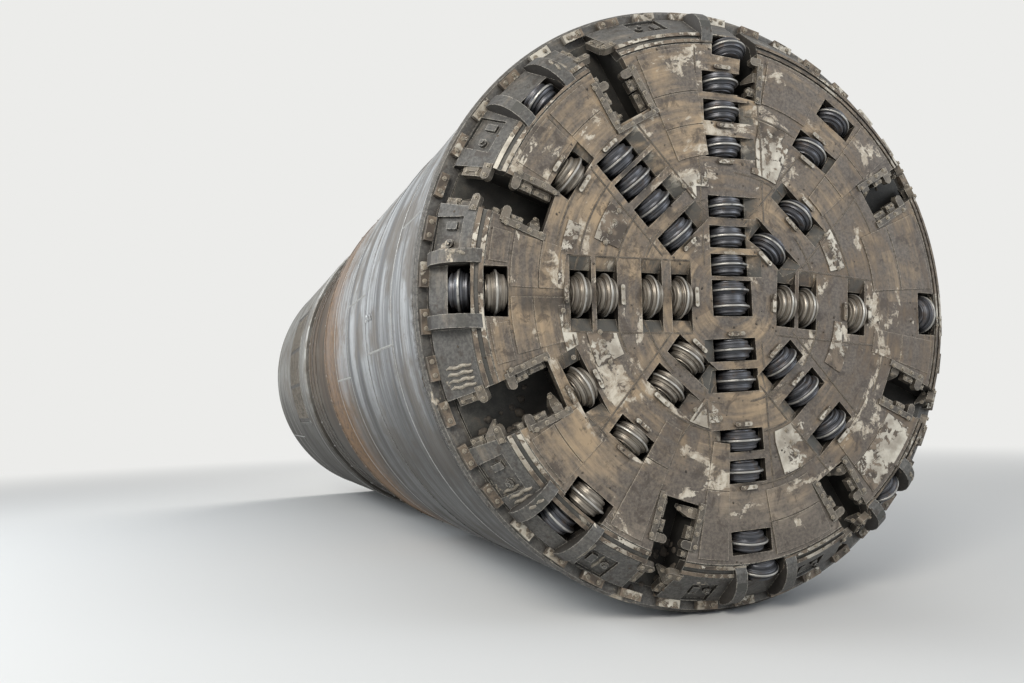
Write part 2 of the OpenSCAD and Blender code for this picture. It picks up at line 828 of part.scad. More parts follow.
laid() face_plate();
laid() gauge_ring();
laid() cutter_housings();
laid() cutter_shafts();
laid() scraper_teeth();
laid() wear_blocks();
laid() head_frame();
laid() front_skin();
laid() front_bulkhead();
laid() inner_skin();
laid() rear_skin();
laid() rear_bulkhead();
laid() thrust_rams();
laid() gripper_guides();
laid() gripper_shoe_right();
laid() gripper_shoe_left();
laid() centre_cutter();
for (c = cutters) laid() cutter(c);
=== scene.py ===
"""Looks of the shielded tunnel boring machine's front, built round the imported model.

Metres, in the model's frame: +Y runs back along the machine, +Z is up, and the cutterhead faces -Y.
A place on the machine is given by its clock angle in degrees, counted from +X towards +Z, its radius
and its Y.
"""

import json
import math
import random

import bmesh
import bpy
from mathutils import Euler, Matrix, Vector
from mathutils.bvhtree import BVHTree
from mathutils.noise import noise as field


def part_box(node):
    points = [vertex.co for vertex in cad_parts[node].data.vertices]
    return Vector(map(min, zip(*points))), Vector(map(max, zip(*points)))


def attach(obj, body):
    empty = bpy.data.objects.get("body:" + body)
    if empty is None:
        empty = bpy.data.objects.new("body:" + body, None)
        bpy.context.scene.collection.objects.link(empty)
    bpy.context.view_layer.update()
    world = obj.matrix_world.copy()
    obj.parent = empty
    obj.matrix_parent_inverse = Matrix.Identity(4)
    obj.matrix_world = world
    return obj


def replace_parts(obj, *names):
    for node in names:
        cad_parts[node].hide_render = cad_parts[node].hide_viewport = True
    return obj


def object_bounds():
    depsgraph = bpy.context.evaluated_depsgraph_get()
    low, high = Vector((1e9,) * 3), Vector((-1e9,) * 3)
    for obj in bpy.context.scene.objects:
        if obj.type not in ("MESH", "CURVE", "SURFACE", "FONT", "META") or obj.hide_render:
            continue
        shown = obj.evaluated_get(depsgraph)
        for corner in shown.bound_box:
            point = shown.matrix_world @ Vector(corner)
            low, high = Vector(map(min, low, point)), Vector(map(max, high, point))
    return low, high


SEED = 11

# The photograph's camera, fitted to the face's outline and the shield's edges
CAMERA_AT = Vector((-5.52, -23.43, -1.17))
CAMERA_HEADING = math.radians(-19.98)
CAMERA_PITCH = math.radians(4.63)
CAMERA_ROLL = math.radians(-1.68)
CAMERA_LENS_MM = 29.84
SENSOR_MM = 36

# The floor lies this far under the machine and fades into the backdrop between two distances
FLOOR_GAP = 0.02
FLOOR_SIZE = 300
MACHINE_MIDDLE_Y = -6.3
FADE_FROM = 13
FADE_TO = 34
FLOOR_COLOR = (212, 212, 210)
BACKDROP = (236, 236, 234)
# What lights the machine beside the lamps, in linear values
WORLD_LIGHT = (0.86, 0.92, 1, 1)
WORLD_STRENGTH = 0.45
EYE_RAYS = ("Is Camera Ray", "Is Glossy Ray", "Is Transmission Ray")

BACKWARD = Vector((0, 1, 0))
FORWARD = Vector((0, -1, 0))

# Stations and radii of the machine's CAD parts
SHIELD_FRONT_Y = -14.725
SHIELD_SEAM_Y = -11.865
SHIELD_REAR_Y = -7.725
SHIELD_R = 3.46
REAR_R = 3.44
INNER_R = 3.345
RAM_COUNT = 14
RAM_RADIUS = 3.06
RAM_BODY_R = 0.15
RAM_BODY_L = 1.5
RAM_ROD_R = 0.095
RAM_ROD_L = 0.52
RAM_SHOE_L = 0.18
PORT_ANGLES = (178, 58, -2, -62)
PORT_YS = (-12.025, -12.185, -12.345)
PORT_R = 0.032
# A grease port's rim: (radius, height over the skin)
PORT_RIM = [
    (PORT_R, -0.012), (PORT_R, 0.006), (PORT_R + 0.004, 0.010), (PORT_R + 0.022, 0.010),
    (PORT_R + 0.028, 0.004), (PORT_R + 0.028, -0.012),
]
MOTOR_FRONT_Y = -14.005
MOTOR_COUNT = 10
MOTOR_RING_R = 2.45
# Middle angle and half width of each bucket opening
BUCKETS = [
    (159, 0.22), (120, 0.22), (82.2, 0.115), (30, 0.215),
    (-25, 0.215), (-59, 0.215), (-109, 0.215), (-157, 0.265),
]

# Disc cutters
RING_R = 0.2415
HUB_R = 0.190
SHAFT_R = 0.056
HUB_LENGTH = 0.226
CENTRE_HUB_LENGTH = 0.380
CENTRE_RINGS = (-0.095, 0.085)
CUTTER_SEGMENTS = 56
CUTTER_WEARS = (0, 0.0015, 0.003)
CENTRE_WEAR = 0.001
# Wear starts at this radius; chips are cut where a noise, shifted with the wear, is over a level
BLUNT_FROM_R = 0.22
CHIP_SCALE = 9
CHIP_SHIFT = 900
CHIP_LEVEL = 0.22
CHIP_DEPTH = 0.012
# One side of a ring and its retainer, from the hub to the middle of the tip: (along the shaft, radius)
RING_SIDE = [
    (-0.0625, HUB_R), (-0.061, 0.184), (-0.057, 0.184), (-0.056, 0.1895), (-0.044, 0.1895),
    (-0.042, 0.203), (-0.037, 0.2065), (-0.029, 0.2095), (-0.0215, 0.2135), (-0.0165, 0.219),
    (-0.0135, 0.227), (-0.012, 0.2345), (-0.0102, 0.2385), (-0.0075, 0.2407), (-0.0035, 0.2414),
]
# A hub's end, from its bore outward: (distance from the end, radius)
HUB_END = [
    (0, SHAFT_R), (0, 0.096), (0.006, 0.098), (0.006, 0.110), (0, 0.112), (0, 0.146),
    (0.003, 0.150), (0.012, 0.152), (0.015, 0.165), (0.017, 0.168), (0.018, 0.178), (0.025, 0.187),
    (0.029, HUB_R),
]
# Rows whose cutters show bright, brownish steel
BRIGHT_ROWS = ("cutter_w", "cutter_e", "cutter_sw")

# Cover plates of the face: [first angle, last angle, radii of their edges]
COVER_PLATES = [
    (166, 178.6, (2.03, 2.32, 2.63)),
    (180.4, 193.6, (2.03, 2.38, 2.63)),
    (166.2, 173.4, (2.66, 2.87)),
    (185.8, 194.6, (2.66, 2.87)),
    (139.2, 151.6, (2.48, 2.86)),
    (127.6, 138.4, (2.19, 2.52, 2.86)),
    (97.6, 112.4, (1.62, 1.98, 2.36, 2.86)),
    (61.5, 77.2, (2.32, 2.86)),
    (37.2, 47.6, (1.62, 2, 2.42, 2.86)),
    (3.2, 22.6, (1.98, 2.40, 2.86)),
    (-18, -9.4, (1.98, 2.40, 2.86)),
    (-51.6, -32.4, (2.10, 2.46, 2.86)),
    (-82, -66, (2.14, 2.50, 2.86)),
    (-102.2, -94.2, (1.60, 2.12, 2.86)),
    (-124.6, -116, (1.60, 2.05, 2.86)),
    (-149.2, -137.4, (2.24, 2.56, 2.86)),
]
COVER_T = 0.010
COVER_GAP = 0.008
COVER_EDGE = 0.004
PAINTED_SHARE = 0.14

# Weld seams of the face: arcs as (radius, first angle, last angle)
SEAM_ARCS = [
    (1.14, 96, 128), (1.14, 140, 172), (1.12, 186, 226), (1.16, -82, -54), (1.18, -40, -12), (1.14, 2, 40),
    (1.46, 138, 176), (1.90, 138, 176), (2, 184, 204), (1.46, 186, 205), (1.44, 52, 86), (1.66, 4, 42),
    (2.14, 60, 82), (2.165, 150, 176), (2.165, 184, 206), (2.165, -30, -8), (2.165, 8, 45),
    (1.52, -82, -54), (2.08, -84, -66), (1.5, -126, -96), (2.18, -149, -137), (2.80, -126, -116),
]
# The same along the rows: (row's angle, distance beside its middle line, first and last radius)
SEAM_LINES = [
    (90, 0.34, 0.35, 2.85), (90, -0.47, 0.35, 2.60), (132, 0.34, 0.9, 2.85), (132, -0.44, 0.9, 2.85),
    (179.5, 0.40, 0.5, 2.9), (179.5, -0.40, 0.5, 2.9), (-131, 0.44, 0.8, 2.85), (-131, -0.34, 0.8, 2.85),
    (-88, 0.34, 0.5, 2.85), (-88, -0.44, 0.5, 2.85), (-48.5, 0.34, 0.8, 2.3), (-48.5, -0.42, 0.8, 2.3),
    (-5, 0.42, 0.6, 2.85), (-5, -0.36, 0.6, 2.85), (46, 0.44, 0.7, 2.2), (46, -0.44, 0.7, 2.2),
]
# How far apart the points of a seam on the face are, and how far in front of it their rays start
BEAD_STEP = 0.022
RAY_START = 0.4
# A surface whose normal has a lower Y than this faces the front
FRONT_FACING = -0.5

# Hardfacing ribs on the bevel: (first angle, step, how many)
RIB_ROWS = [
    (-138.6, -1.25, 5), (-124, 1.3, 4), (-163.4, -1.2, 4), (172.6, -1.2, 3), (127, 1.3, 3), (-41, 1.3, 4),
]
RIB_FIRST_R = 3.10
RIB_LAST_R = 3.30
RIB_STEPS = 13

# Sections of weld beads and bars: (across in widths, up in heights)
WELD_SECTION = [
    (-0.42, -0.4), (-0.5, 0.05), (-0.36, 0.72), (0, 1), (0.36, 0.72), (0.5, 0.05), (0.42, -0.4),
]
BAR_SECTION = [(-0.5, -0.3), (-0.5, 0.75), (-0.42, 1), (0.42, 1), (0.5, 0.75), (0.5, -0.3)]
# Weld beads: width, height and, where it isn't the usual, ripple
ARC_BEAD = (0.026, 0.009)
LINE_BEAD = (0.024, 0.008)
RIB_BEAD = (0.040, 0.018, 0.3)
SEAM_BEAD = (0.030, 0.005, 0.25)
PIPE_BEAD = (0.022, 0.014, 0)
# Bars: width, height
STRAP = (0.090, 0.012)
TAIL_STRAP = (0.10, 0.012)
FRAME_BAR = (0.07, 0.014)
GRIP_BAR = (0.09, 0.016)

# Blocks of the head with a longer or a narrower half than these take no bolts; short ones take one or two
BOLTED_HALF_LONG = 0.32
BOLTED_HALF_SHORT = 0.018
ONE_BOLT_HALF = 0.05
TWO_BOLTS_HALF = 0.16
LARGEST_HEAD_BOLT = 0.021
# A bolt's washer and head in multiples of the head's radius over its corners: (radius, height)
WASHER_OUTLINE = [(1.3, 0.16), (1.22, 0.24), (0, 0.24)]
HEAD_OUTLINE = [(0, 0.2), (1, 0.2), (1, 0.78), (0.86, 0.92), (0.4, 0.92), (0.36, 0.86), (0, 0.86)]
# How deep the foot of a bolt or a plate, and that of a block, stand in the surface below
SINK = 0.002
BLOCK_SINK = 0.004
# Degrees between the points of a cover plate's curved edges
SECTOR_STEP = 1.5

# A clod's height over and under the surface it sticks to and its width, in multiples of its length
CLOD_OVER = 0.55
CLOD_UNDER = 0.35
CLOD_WIDTH = 0.8
# Muck: clods in each bucket and on the front shield's edge, flecks on the face, and where they lie
BUCKET_CLODS = 26
LIP_CLODS = 230
FACE_FLECKS = 420
BUCKET_MUCK_RS = (2.42, 3.05)
BUCKET_MUCK_YS = (-15.32, -15.10)
LIP_MUCK_RS = (3.405, 3.445)
FACE_MUCK_R = 3.3
FACE_MUCK_Y = -15.1

# Weld seams round the shields (Y) and along them (first Y, last Y, angles)
FRONT_RING_SEAMS = (-13.62, -10.35, -9.02)
FRONT_LONG_SEAMS = [
    (-14.6, -13.62, (163, 100, 20, -50)),
    (-13.62, -11.9, (186, 128, 60, -20)),
    (-11.8, -10.35, (172, 75, -10)),
    (-10.35, -9.02, (190, 140, 40, -40)),
]
REAR_RING_SEAMS = (-3.72, 0.55, 1.75)
REAR_LONG_SEAMS = [(-4.15, 2.9, (90,)), (0.05, 2.9, (210, -30)), (-4.15, 0.5, (-90,))]

# Straps round the shields: how far the front shield's lie before its seam and rear edge, and the others' Y
SEAM_STRAP_GAP = 0.06
REAR_STRAP_GAP = 0.10
STRAP_BOLTS = 48
TAIL_STRAP_Y = 2.88
# Straps of the telescopic skin: (Y, width), their height, and the bolts in the widest
TELESCOPE_STRAPS = [(-4.42, 0.16), (-4.95, 0.10), (-5.45, 0.10)]
TELESCOPE_STRAP_HEIGHT = 0.018
TELESCOPE_BOLTS = 36
TELESCOPE_BOLT_YS = (-4.47, -4.37)

# Frames round the gripper windows: their ends, the middle lines of the bars round the shield, the half
# angles of the bars round it and along it, and the bolts' angles
FRAME_YS = (-0.885, -3.215)
FRAME_BAR_YS = (-0.93, -3.17)
FRAME_HALF_ANGLE = 23.6
FRAME_SIDE_ANGLE = 23.1
FRAME_BOLT_ANGLES = [-22 + 5.5 * k for k in range(9)]

# Grip bars of the shoes: rows along Y, three bars side by side in each
GRIP_ROWS = 9
GRIP_FIRST_Y = -1.08
GRIP_STEP_Y = 0.24
GRIP_STEP_ANGLE = 14.2
GRIP_HALF_ANGLE = 6.4

# Rear bulkhead: outline of a gusset as (radius, Y), and half its thickness
GUSSET = [(1.78, 0), (1.78, 0.05), (2.6, 0.16), (3.36, 0.62), (3.36, 0)]
GUSSET_HALF = 0.016
# Rams: collars on the body as (start, length), bolts of the gland, rubber pad, valve block and pipes
COLLARS = [(0.02, 0.07), (RAM_BODY_L - 0.10, 0.12)]
GLAND_R = 0.135
GLAND_BOLTS = 10
GLAND_BOLT_RING_R = 0.127
PAD_SIZE = (0.32, 0.52, 0.022)
VALVE_BLOCK_SIZE = (0.16, 0.11, 0.075)
VALVE_BLOCK_Z = 0.20
PIPES_ASIDE = (-0.028, 0.028)
PIPE_OUT = 0.045
PIPE_ENDS = (0.27, RAM_BODY_L - 0.14)
PIPE_STEPS = 24
PIPE_DIP = -0.035
# Drive motors: (start, width) of the flanges and ribs round a case, and the case's and their radius
MOTOR_RINGS = [(z, 0.05) for z in (0.03, 0.60, 0.95)] + [(1.05 + 0.06 * k, 0.02) for k in range(7)]
MOTOR_CASE_R = 0.245
MOTOR_RING_OUTER_R = 0.274

# An edge is worn in full from the second cosine of its bend on, and the shade painted into a nook is full
# from the second openness
EDGE_BEND = (0.985, 0.86)
PAINTED_SHADE_OPENNESS = (0.80, 0.35)

# Studio lamps: name, place, point it looks at, size, power in watts, colour
LAMPS = [
    ("key_lamp", (-16, -32, 13), (0, -13, 0), 9, 5200, (1, 0.95, 0.88)),
    ("side_lamp", (-20, -8, 9), (0, -7, 0), 10, 3000, (0.90, 0.95, 1)),
    ("fill_lamp", (14, -30, 6), (0, -15, 0), 12, 1500, (0.86, 0.92, 1)),
    ("back_lamp", (9, 12, 12), (0, -4, 0), 12, 2600, (1, 0.96, 0.90)),
]

# Plain metals: dark, light and edge colour, roughness, metallic, scale of the clouds, strength of the painted
# shade in the nooks
METALS = {
    "inner_steel": ((44, 43, 40), (78, 76, 70), (150, 142, 128), 0.7, 0.2, 5, 0.9),
    "tooth_steel": ((70, 65, 59), (118, 110, 98), (194, 187, 172), 0.55, 0.3, 5, 0.5),
    "bolt_steel": ((84, 76, 66), (132, 122, 106), (190, 182, 166), 0.5, 0.3, 20, 0),
    "weld_metal": ((60, 53, 46), (100, 90, 78), (156, 146, 128), 0.5, 0.3, 18, 0),
    "hard_weld": ((104, 98, 88), (152, 144, 130), (190, 184, 170), 0.45, 0.4, 16, 0),
    "muck": ((50, 46, 42), (86, 78, 68), (92, 84, 74), 0.85, 0, 14, 0),
    "shield_weld": ((120, 120, 118), (160, 160, 156), (186, 186, 182), 0.45, 0.5, 18, 0),
    "frame_steel": ((88, 84, 78), (124, 118, 108), (176, 170, 158), 0.6, 0.2, 5, 0),
    "chrome_rod": ((150, 152, 155), (176, 178, 180), (190, 190, 190), 0.25, 0.85, 2, 0),
    "rubber_pad": ((34, 34, 33), (54, 52, 50), (70, 68, 64), 0.8, 0, 12, 0),
}


def srgb(red, green, blue):
    """A colour given as it looks on screen, 0 to 255, turned into the linear values that shaders take."""
    linear = []
    for value in (red, green, blue):
        v = value / 255
        linear.append(v / 12.92 if v <= 0.04045 else ((v + 0.055) / 1.055) ** 2.4)
    return (*linear, 1)


def polar(angle, radius, y):
    """The point at a clock angle in degrees, a radius and a Y."""
    turn = math.radians(angle)
    return Vector((radius * math.cos(turn), y, radius * math.sin(turn)))


def stand(at, normal, along):
    """A place on a surface: local Z points out along the normal and local X lies nearest to along."""
    up = normal.normalized()
    side = up.cross(along).normalized()
    return Matrix.Translation(at) @ Matrix((side.cross(up), side, up)).transposed().to_4x4()


def on_skin(angle, radius, y):
    """A place on a skin round the axis: local Z points outward and local X back along the machine."""
    return stand(polar(angle, radius, y), polar(angle, 1, 0), BACKWARD)


def facing_back(angle, radius, y):
    """A place whose local Z points back along the machine and whose local X points outward."""
    return stand(polar(angle, radius, y), BACKWARD, polar(angle, 1, 0))


def spread(first, last, count):
    """Evenly spaced values from first to last, with count steps between them."""
    return [first + (last - first) * i / count for i in range(count + 1)]


def walls(low, count):
    """Faces between a ring of points, numbered from low, and the ring that follows it."""
    following = [(i + 1) % count for i in range(count)]
    return [[low + i, low + j, low + count + j, low + count + i] for i, j in enumerate(following)]


class Value:
    """An output of a node, which can be added and multiplied."""

    def __init__(self, nodes, socket):
        self.nodes = nodes
        self.socket = socket

    def __add__(self, other):
        return self.nodes.math("ADD", self, other)

    def __mul__(self, other):
        return self.nodes.math("MULTIPLY", self, other)


class Nodes:
    """A node tree, emptied and built again from small nodes."""

    def __init__(self, tree):
        self.tree = tree
        tree.nodes.clear()

    def put(self, socket, value):
        """Links a socket or sets its value; three numbers are a colour as it looks on screen."""
        if isinstance(value, Value):
            self.tree.links.new(value.socket, socket)
        elif isinstance(value, tuple) and len(value) == 3:
            socket.default_value = srgb(*value)
        else:
            socket.default_value = value

    def node(self, kind, output, inputs, **settings):
        """Adds a node with its inputs and settings, and returns one of its outputs."""
        node = self.tree.nodes.new(kind)
        for name, value in settings.items():
            setattr(node, name, value)
        for name, value in inputs.items():
            self.put(node.inputs[name], value)
        return Value(self, node.outputs[output])

    def show(self, kind, surface):
        """Ends the tree in its output, of a material or a world."""
        self.put(self.tree.nodes.new(kind).inputs["Surface"], surface)

    def math(self, operation, a, b=0):
        return self.node("ShaderNodeMath", 0, {0: a, 1: b, 2: 0}, operation=operation)

    def eye_rays(self):
        """1 for rays from the camera and for those that a shiny or clear surface sends on, else 0."""
        camera, glossy, clear = [self.node("ShaderNodeLightPath", ray, {}) for ray in EYE_RAYS]
        return self.math("MAXIMUM", self.math("MAXIMUM", camera, glossy), clear)


class Shader(Nodes):
    """One procedural material."""

    def __init__(self, name):
        self.material = bpy.data.materials.new(name)
        self.material.use_nodes = True
        super().__init__(self.material.node_tree)
        self.place = self.node("ShaderNodeTexCoord", "Object", {})
        self.x, self.y, self.z = [self.node("ShaderNodeSeparateXYZ", k, {0: self.place}) for k in range(3)]
        normal = self.node("ShaderNodeTexCoord", "Normal", {})
        self.normal_y = self.node("ShaderNodeSeparateXYZ", 1, {0: normal})

    def vector(self, x, y, z):
        return self.node("ShaderNodeCombineXYZ", 0, {0: x, 1: y, 2: z})

    def stretched(self, x, y, z):
        """The place with each part scaled, for noise that is drawn out along an axis."""
        return self.vector(self.x * x, self.y * y, self.z * z)

    def noise(self, scale, detail, roughness, distortion=0, at=None):
        """Noise at the surface's own place, or at a vector."""
        inputs = {"Scale": scale, "Detail": detail, "Roughness": roughness, "Distortion": distortion}
        return self.node("ShaderNodeTexNoise", "Fac", {"Vector": at or self.place, **inputs})

    def step(self, value, low, high):
        """0 at low, 1 at high, smooth between, also where low is the larger."""
        inputs = {"Value": value, "From Min": low, "From Max": high}
        return self.node("ShaderNodeMapRange", "Result", inputs, interpolation_type="SMOOTHSTEP")

    def mix(self, share, a, b):
        """A colour between two."""
        return self.node("ShaderNodeMix", 2, {"Factor": share, 6: a, 7: b}, data_type="RGBA")

    def cover(self, color, share, strength, top):
        """A colour covered by another, by a share of a strength."""
        return self.mix(share * strength, color, top)

    def distance(self, a, b):
        """Length of the vector with these two parts, such as the distance from an axis."""
        return self.math("SQRT", a * a + b * b)

    def panels(self, angle_step, radius_step):
        """A number from 0 to 1 that differs from panel to panel round the machine's axis."""
        around = self.math("FLOOR", self.math("ARCTAN2", self.z, self.x) * (1 / angle_step))
        outward = self.math("FLOOR", self.distance(self.x, self.z) * (1 / radius_step))
        cell = self.vector(around, outward, 0)
        return self.node("ShaderNodeTexWhiteNoise", "Value", {"Vector": cell}, noise_dimensions="2D")

    def edges(self, width):
        """1 along sharp edges, 0 on flats."""
        rounded = self.node("ShaderNodeBevel", 0, {"Radius": width}, samples=4)
        both = {0: rounded, 1: self.node("ShaderNodeNewGeometry", "Normal", {})}
        cosine = self.node("ShaderNodeVectorMath", "Value", both, operation="DOT_PRODUCT")
        return self.step(cosine, *EDGE_BEND)

    def painted_nook_shade(self, reach):
        """Painted shade: 1 deep in corners and pockets, 0 where the surface lies open."""
        openness = self.node("ShaderNodeAmbientOcclusion", "AO", {"Distance": reach}, samples=4)
        return self.step(openness, *PAINTED_SHADE_OPENNESS)

    def own_number(self):
        """A number from 0 to 1 that differs from object to object."""
        return self.node("ShaderNodeObjectInfo", "Random", {})

    def plastic(self, color, roughness, **more):
        """The surface's shader; more holds its other inputs."""
        inputs = {"Base Color": color, "Roughness": roughness, **more}
        return self.node("ShaderNodeBsdfPrincipled", "BSDF", inputs)

    def finish(self, color, roughness, metallic, height, depth, strength):
        """Shows the surface with bumps by height, and returns the material."""
        inputs = {"Strength": strength, "Distance": depth, "Height": height}
        normal = self.node("ShaderNodeBump", "Normal", inputs)
        surface = self.plastic(color, roughness, Normal=normal, Metallic=metallic)
        self.show("ShaderNodeOutputMaterial", surface)
        return self.material


def scraped_plate(name, mud_low, mud_high, steel_low, steel_high, mud_share, edge_color):
    """Mud over steel, scraped in arcs round the axis, greyer low down, with rubbed edges; painted shade
    darkens it towards +X, on its walls and in its nooks.
    """
    s = Shader(name)
    radius = s.distance(s.x, s.z)
    arcs = s.noise(1, 7, 0.66, at=s.vector(radius * 15, s.x * 1.1, s.z * 1.1))
    areas = s.noise(0.62, 2, 0.5)
    patches = s.noise(1.6, 8, 0.64, 0.4)
    grit = s.noise(30, 6, 0.7)
    splash = s.noise(5, 9, 0.72, 0.5)
    tone = patches * 0.55 + (areas * 0.65 + arcs * 0.25)
    # Painted shade: the x term makes the face darker towards +X, as if lit from the left
    tone = tone + (s.panels(0.27, 0.55) * 0.14 + s.x * -0.035)
    mud = s.mix(s.step(tone, 0.64, 0.94), mud_low, mud_high)
    low_down = s.step(s.z + patches * 2.4, 0.1, -1.9)
    grey_mud = s.mix(s.step(patches, 0.4, 0.6), (78, 76, 74), (118, 115, 111))
    mud = s.cover(mud, low_down, 0.85, grey_mud)
    steel = s.mix(s.step(grit, 0.3, 0.7), steel_low, steel_high)
    share = arcs * 0.6 + patches * 0.8
    color = s.mix(s.step(share, 0.86 - mud_share, 1.18 - mud_share), steel, mud)
    color = s.cover(color, s.step(splash, 0.53, 0.62), 0.65, (58, 50, 43))

    # Flakes of old paint, most of them round the middle of the face's radius
    middle_ring = s.step(s.math("ABSOLUTE", radius + -1.9), 1.1, 0.35)
    old_paint = s.noise(1, 10, 0.66, 0.3, at=s.vector(s.x * 1.6, radius * 2.4, s.z * 1.6))
    kept = s.step(old_paint + middle_ring * 0.055, 0.615, 0.63)
    kept = kept * s.step(splash, 0.53, 0.5)
    flake_color = s.mix(s.step(splash, 0.38, 0.5), (198, 190, 174), (162, 151, 134))
    color = s.cover(color, kept, 0.9, flake_color)

    # Grey slopes, dark smears beside the row of cutters on the left, then painted shade on walls and in
    # nooks, and rubbed edges
    ramp = s.step(s.normal_y, -0.975, -0.95) * s.step(s.normal_y, -0.86, -0.9)
    color = s.cover(color, ramp * s.step(patches, 0.62, 0.44), 0.85, (64, 64, 60))
    beside = s.step(s.math("ABSOLUTE", s.z + splash * 0.16), 0.17, 0.05)
    outside = s.step(s.x, -1.9, -2.02) * s.step(s.x, -2.62, -2.45)
    color = s.cover(color, beside * outside, 0.7, (50, 45, 40))
    # Painted shade on walls that turn away from the front
    color = s.cover(color, s.step(s.normal_y, -0.5, -0.25), 0.8, (44, 40, 36))
    # Painted shade in corners and pockets
    color = s.cover(color, s.painted_nook_shade(0.16), 0.75, (40, 36, 32))
    color = s.cover(color, s.edges(0.014) * s.step(grit, 0.36, 0.56), 0.8, edge_color)
    height = grit * 0.22 + (arcs * 0.35 + splash * 0.5)
    return s.finish(color, patches * 0.35 + 0.42, 0.12, height, 0.010, 0.8)


def chipped_paint():
    """Off-white paint, chipped down to brown and dark steel, and mostly gone towards the rim."""
    s = Shader("chipped_paint")
    flakes = s.noise(11, 9, 0.68, 0.4)
    areas = s.noise(1.7, 3, 0.5)
    grit = s.noise(60, 4, 0.6)
    rusty = s.step(s.noise(7, 6, 0.6), 0.38, 0.62)
    clean = s.step(s.noise(4, 6, 0.6), 0.35, 0.65)
    dark_steel = (70, 62, 54)
    under = s.mix(rusty, dark_steel, (118, 105, 90))
    paint = s.mix(clean, (142, 134, 121), (196, 190, 176))
    outer = s.step(s.distance(s.x, s.z), 2.8, 2.95) * 0.1
    worn = flakes + (areas + -0.5) * 1.1 + outer * -1
    kept = s.step(worn, 0.44, 0.49)
    color = s.mix(kept, under, paint)
    color = s.cover(color, s.step(s.normal_y, -0.6, -0.3), 0.55, dark_steel)
    # Painted shade in corners and pockets
    color = s.cover(color, s.painted_nook_shade(0.10), 0.7, (48, 43, 38))
    color = s.cover(color, s.edges(0.01) * s.step(flakes, 0.42, 0.56), 0.6, (190, 182, 166))
    return s.finish(color, kept * -0.15 + 0.7, 0.05, kept * 0.6 + grit * 0.3, 0.004, 0.8)


def turned_steel(name, dark, light, shine):
    """Cutter steel with streaks round the shaft, blotches of brown dirt and a rubbed tip."""
    s = Shader(name)
    radius = s.distance(s.x, s.y)
    shift = s.own_number() * 40
    streaks = s.noise(1, 5, 0.6, at=s.vector(s.x * 2.5, s.y * 2.5, s.z * 160 + shift))
    blotches = s.noise(9, 7, 0.68, at=s.vector(s.x, s.y, s.z + shift))
    color = s.mix(s.step(streaks, 0.32, 0.68), dark, light)
    color = s.cover(color, s.step(blotches, 0.5, 0.68), 0.55, (78, 62, 46))
    tip = s.step(radius, 0.226, 0.238) * s.step(blotches, 0.3, 0.48)
    color = s.cover(color, tip, 0.75, (178, 176, 170))
    rim_of_hub = s.step(radius, 0.1885, 0.1898) * s.step(radius, 0.1925, 0.1905)
    color = s.cover(color, rim_of_hub, 0.35, light)
    roughness = blotches * 0.35 + (0.36 - shine)
    return s.finish(color, roughness, 0.75, streaks * 0.4 + blotches * 0.6, 0.002, 0.6)


def banded_skin(name, dark, light, metallic, dull, rust_from=None):
    """Rolled shield plate: bands and fine scratches that run round the machine, stains, drips and rust."""
    s = Shader(name)
    bands = s.noise(1, 5, 0.62, at=s.stretched(0.16, 2.6, 0.16))
    fine = s.noise(1, 4, 0.6, at=s.stretched(0.5, 16, 0.5))
    scratches = s.noise(1, 4, 0.65, at=s.stretched(1.1, 90, 1.1))
    stains = s.noise(1.1, 8, 0.62)
    spots = s.noise(12, 7, 0.7)
    drips = s.noise(1, 5, 0.6, at=s.stretched(5, 6, 0.45))
    tone = bands * 0.5 + (fine * 0.32 + scratches * 0.18)
    color = s.mix(s.step(tone, 0.42, 0.58), dark, light)
    dirty = s.step(stains + fine * 0.25, 0.6, 0.74)
    color = s.cover(color, dirty, 0.75, (92, 84, 74))
    color = s.cover(color, s.step(spots, 0.55, 0.66), 0.5, (98, 86, 71))
    color = s.cover(color, s.step(drips, 0.55, 0.67), 0.5, (106, 96, 83))
    below = s.step(s.z + stains * 2, 1.2, -0.9)
    color = s.cover(color, below, 0.8, (62, 60, 57))
    dulled = below * 0.35
    if rust_from is not None:
        rust = s.step(s.y + stains * 2.2, rust_from, rust_from + 2) * 0.62
        rust_color = s.mix(s.step(spots, 0.35, 0.65), (90, 67, 46), (146, 112, 74))
        color = s.mix(rust, color, rust_color)
        dulled = dulled + rust * 0.35
    reach = s.y + spots * -0.5
    front_grime = s.step(reach, SHIELD_FRONT_Y - 0.10, SHIELD_FRONT_Y - 0.28)
    # Grime near the front edge, and painted shade in the nooks, in one dark colour
    color = s.cover(color, s.math("MAXIMUM", front_grime, s.painted_nook_shade(0.3)), 0.85, (42, 38, 34))
    color = s.cover(color, s.edges(0.012) * s.step(spots, 0.34, 0.5), 0.7, (190, 190, 186))
    roughness = stains * 0.35 + dulled + (scratches * 0.25 + dull)
    return s.finish(color, roughness, metallic, fine * 0.4 + spots * 0.6, 0.005, 0.5)


def rough_metal(name, low, high, edge, roughness, metallic, scale, shade):
    """Plain dirty metal with cloudy tone, grit and rubbed edges, and painted shade in its nooks by shade."""
    s = Shader(name)
    cloud = s.noise(scale, 7, 0.65)
    grit = s.noise(scale * 9, 5, 0.65)
    tone = cloud * 0.7 + grit * 0.3
    color = s.mix(s.step(tone, 0.38, 0.62), low, high)
    color = s.cover(color, s.step(cloud, 0.56, 0.68), 0.5, (88, 74, 60))
    # Painted shade in the nooks, as strong as shade
    if shade:
        color = s.cover(color, s.painted_nook_shade(0.5), shade, (20, 18, 16))
    color = s.cover(color, s.edges(0.01) * s.step(grit, 0.36, 0.52), 0.85, edge)
    return s.finish(color, grit * 0.3 + (roughness - 0.15), metallic, grit * 0.6 + cloud * 0.4, 0.006, 0.7)


def add_object(name, data):
    """A new object in the scene."""
    obj = bpy.data.objects.new(name, data)
    bpy.context.collection.objects.link(obj)
    return obj


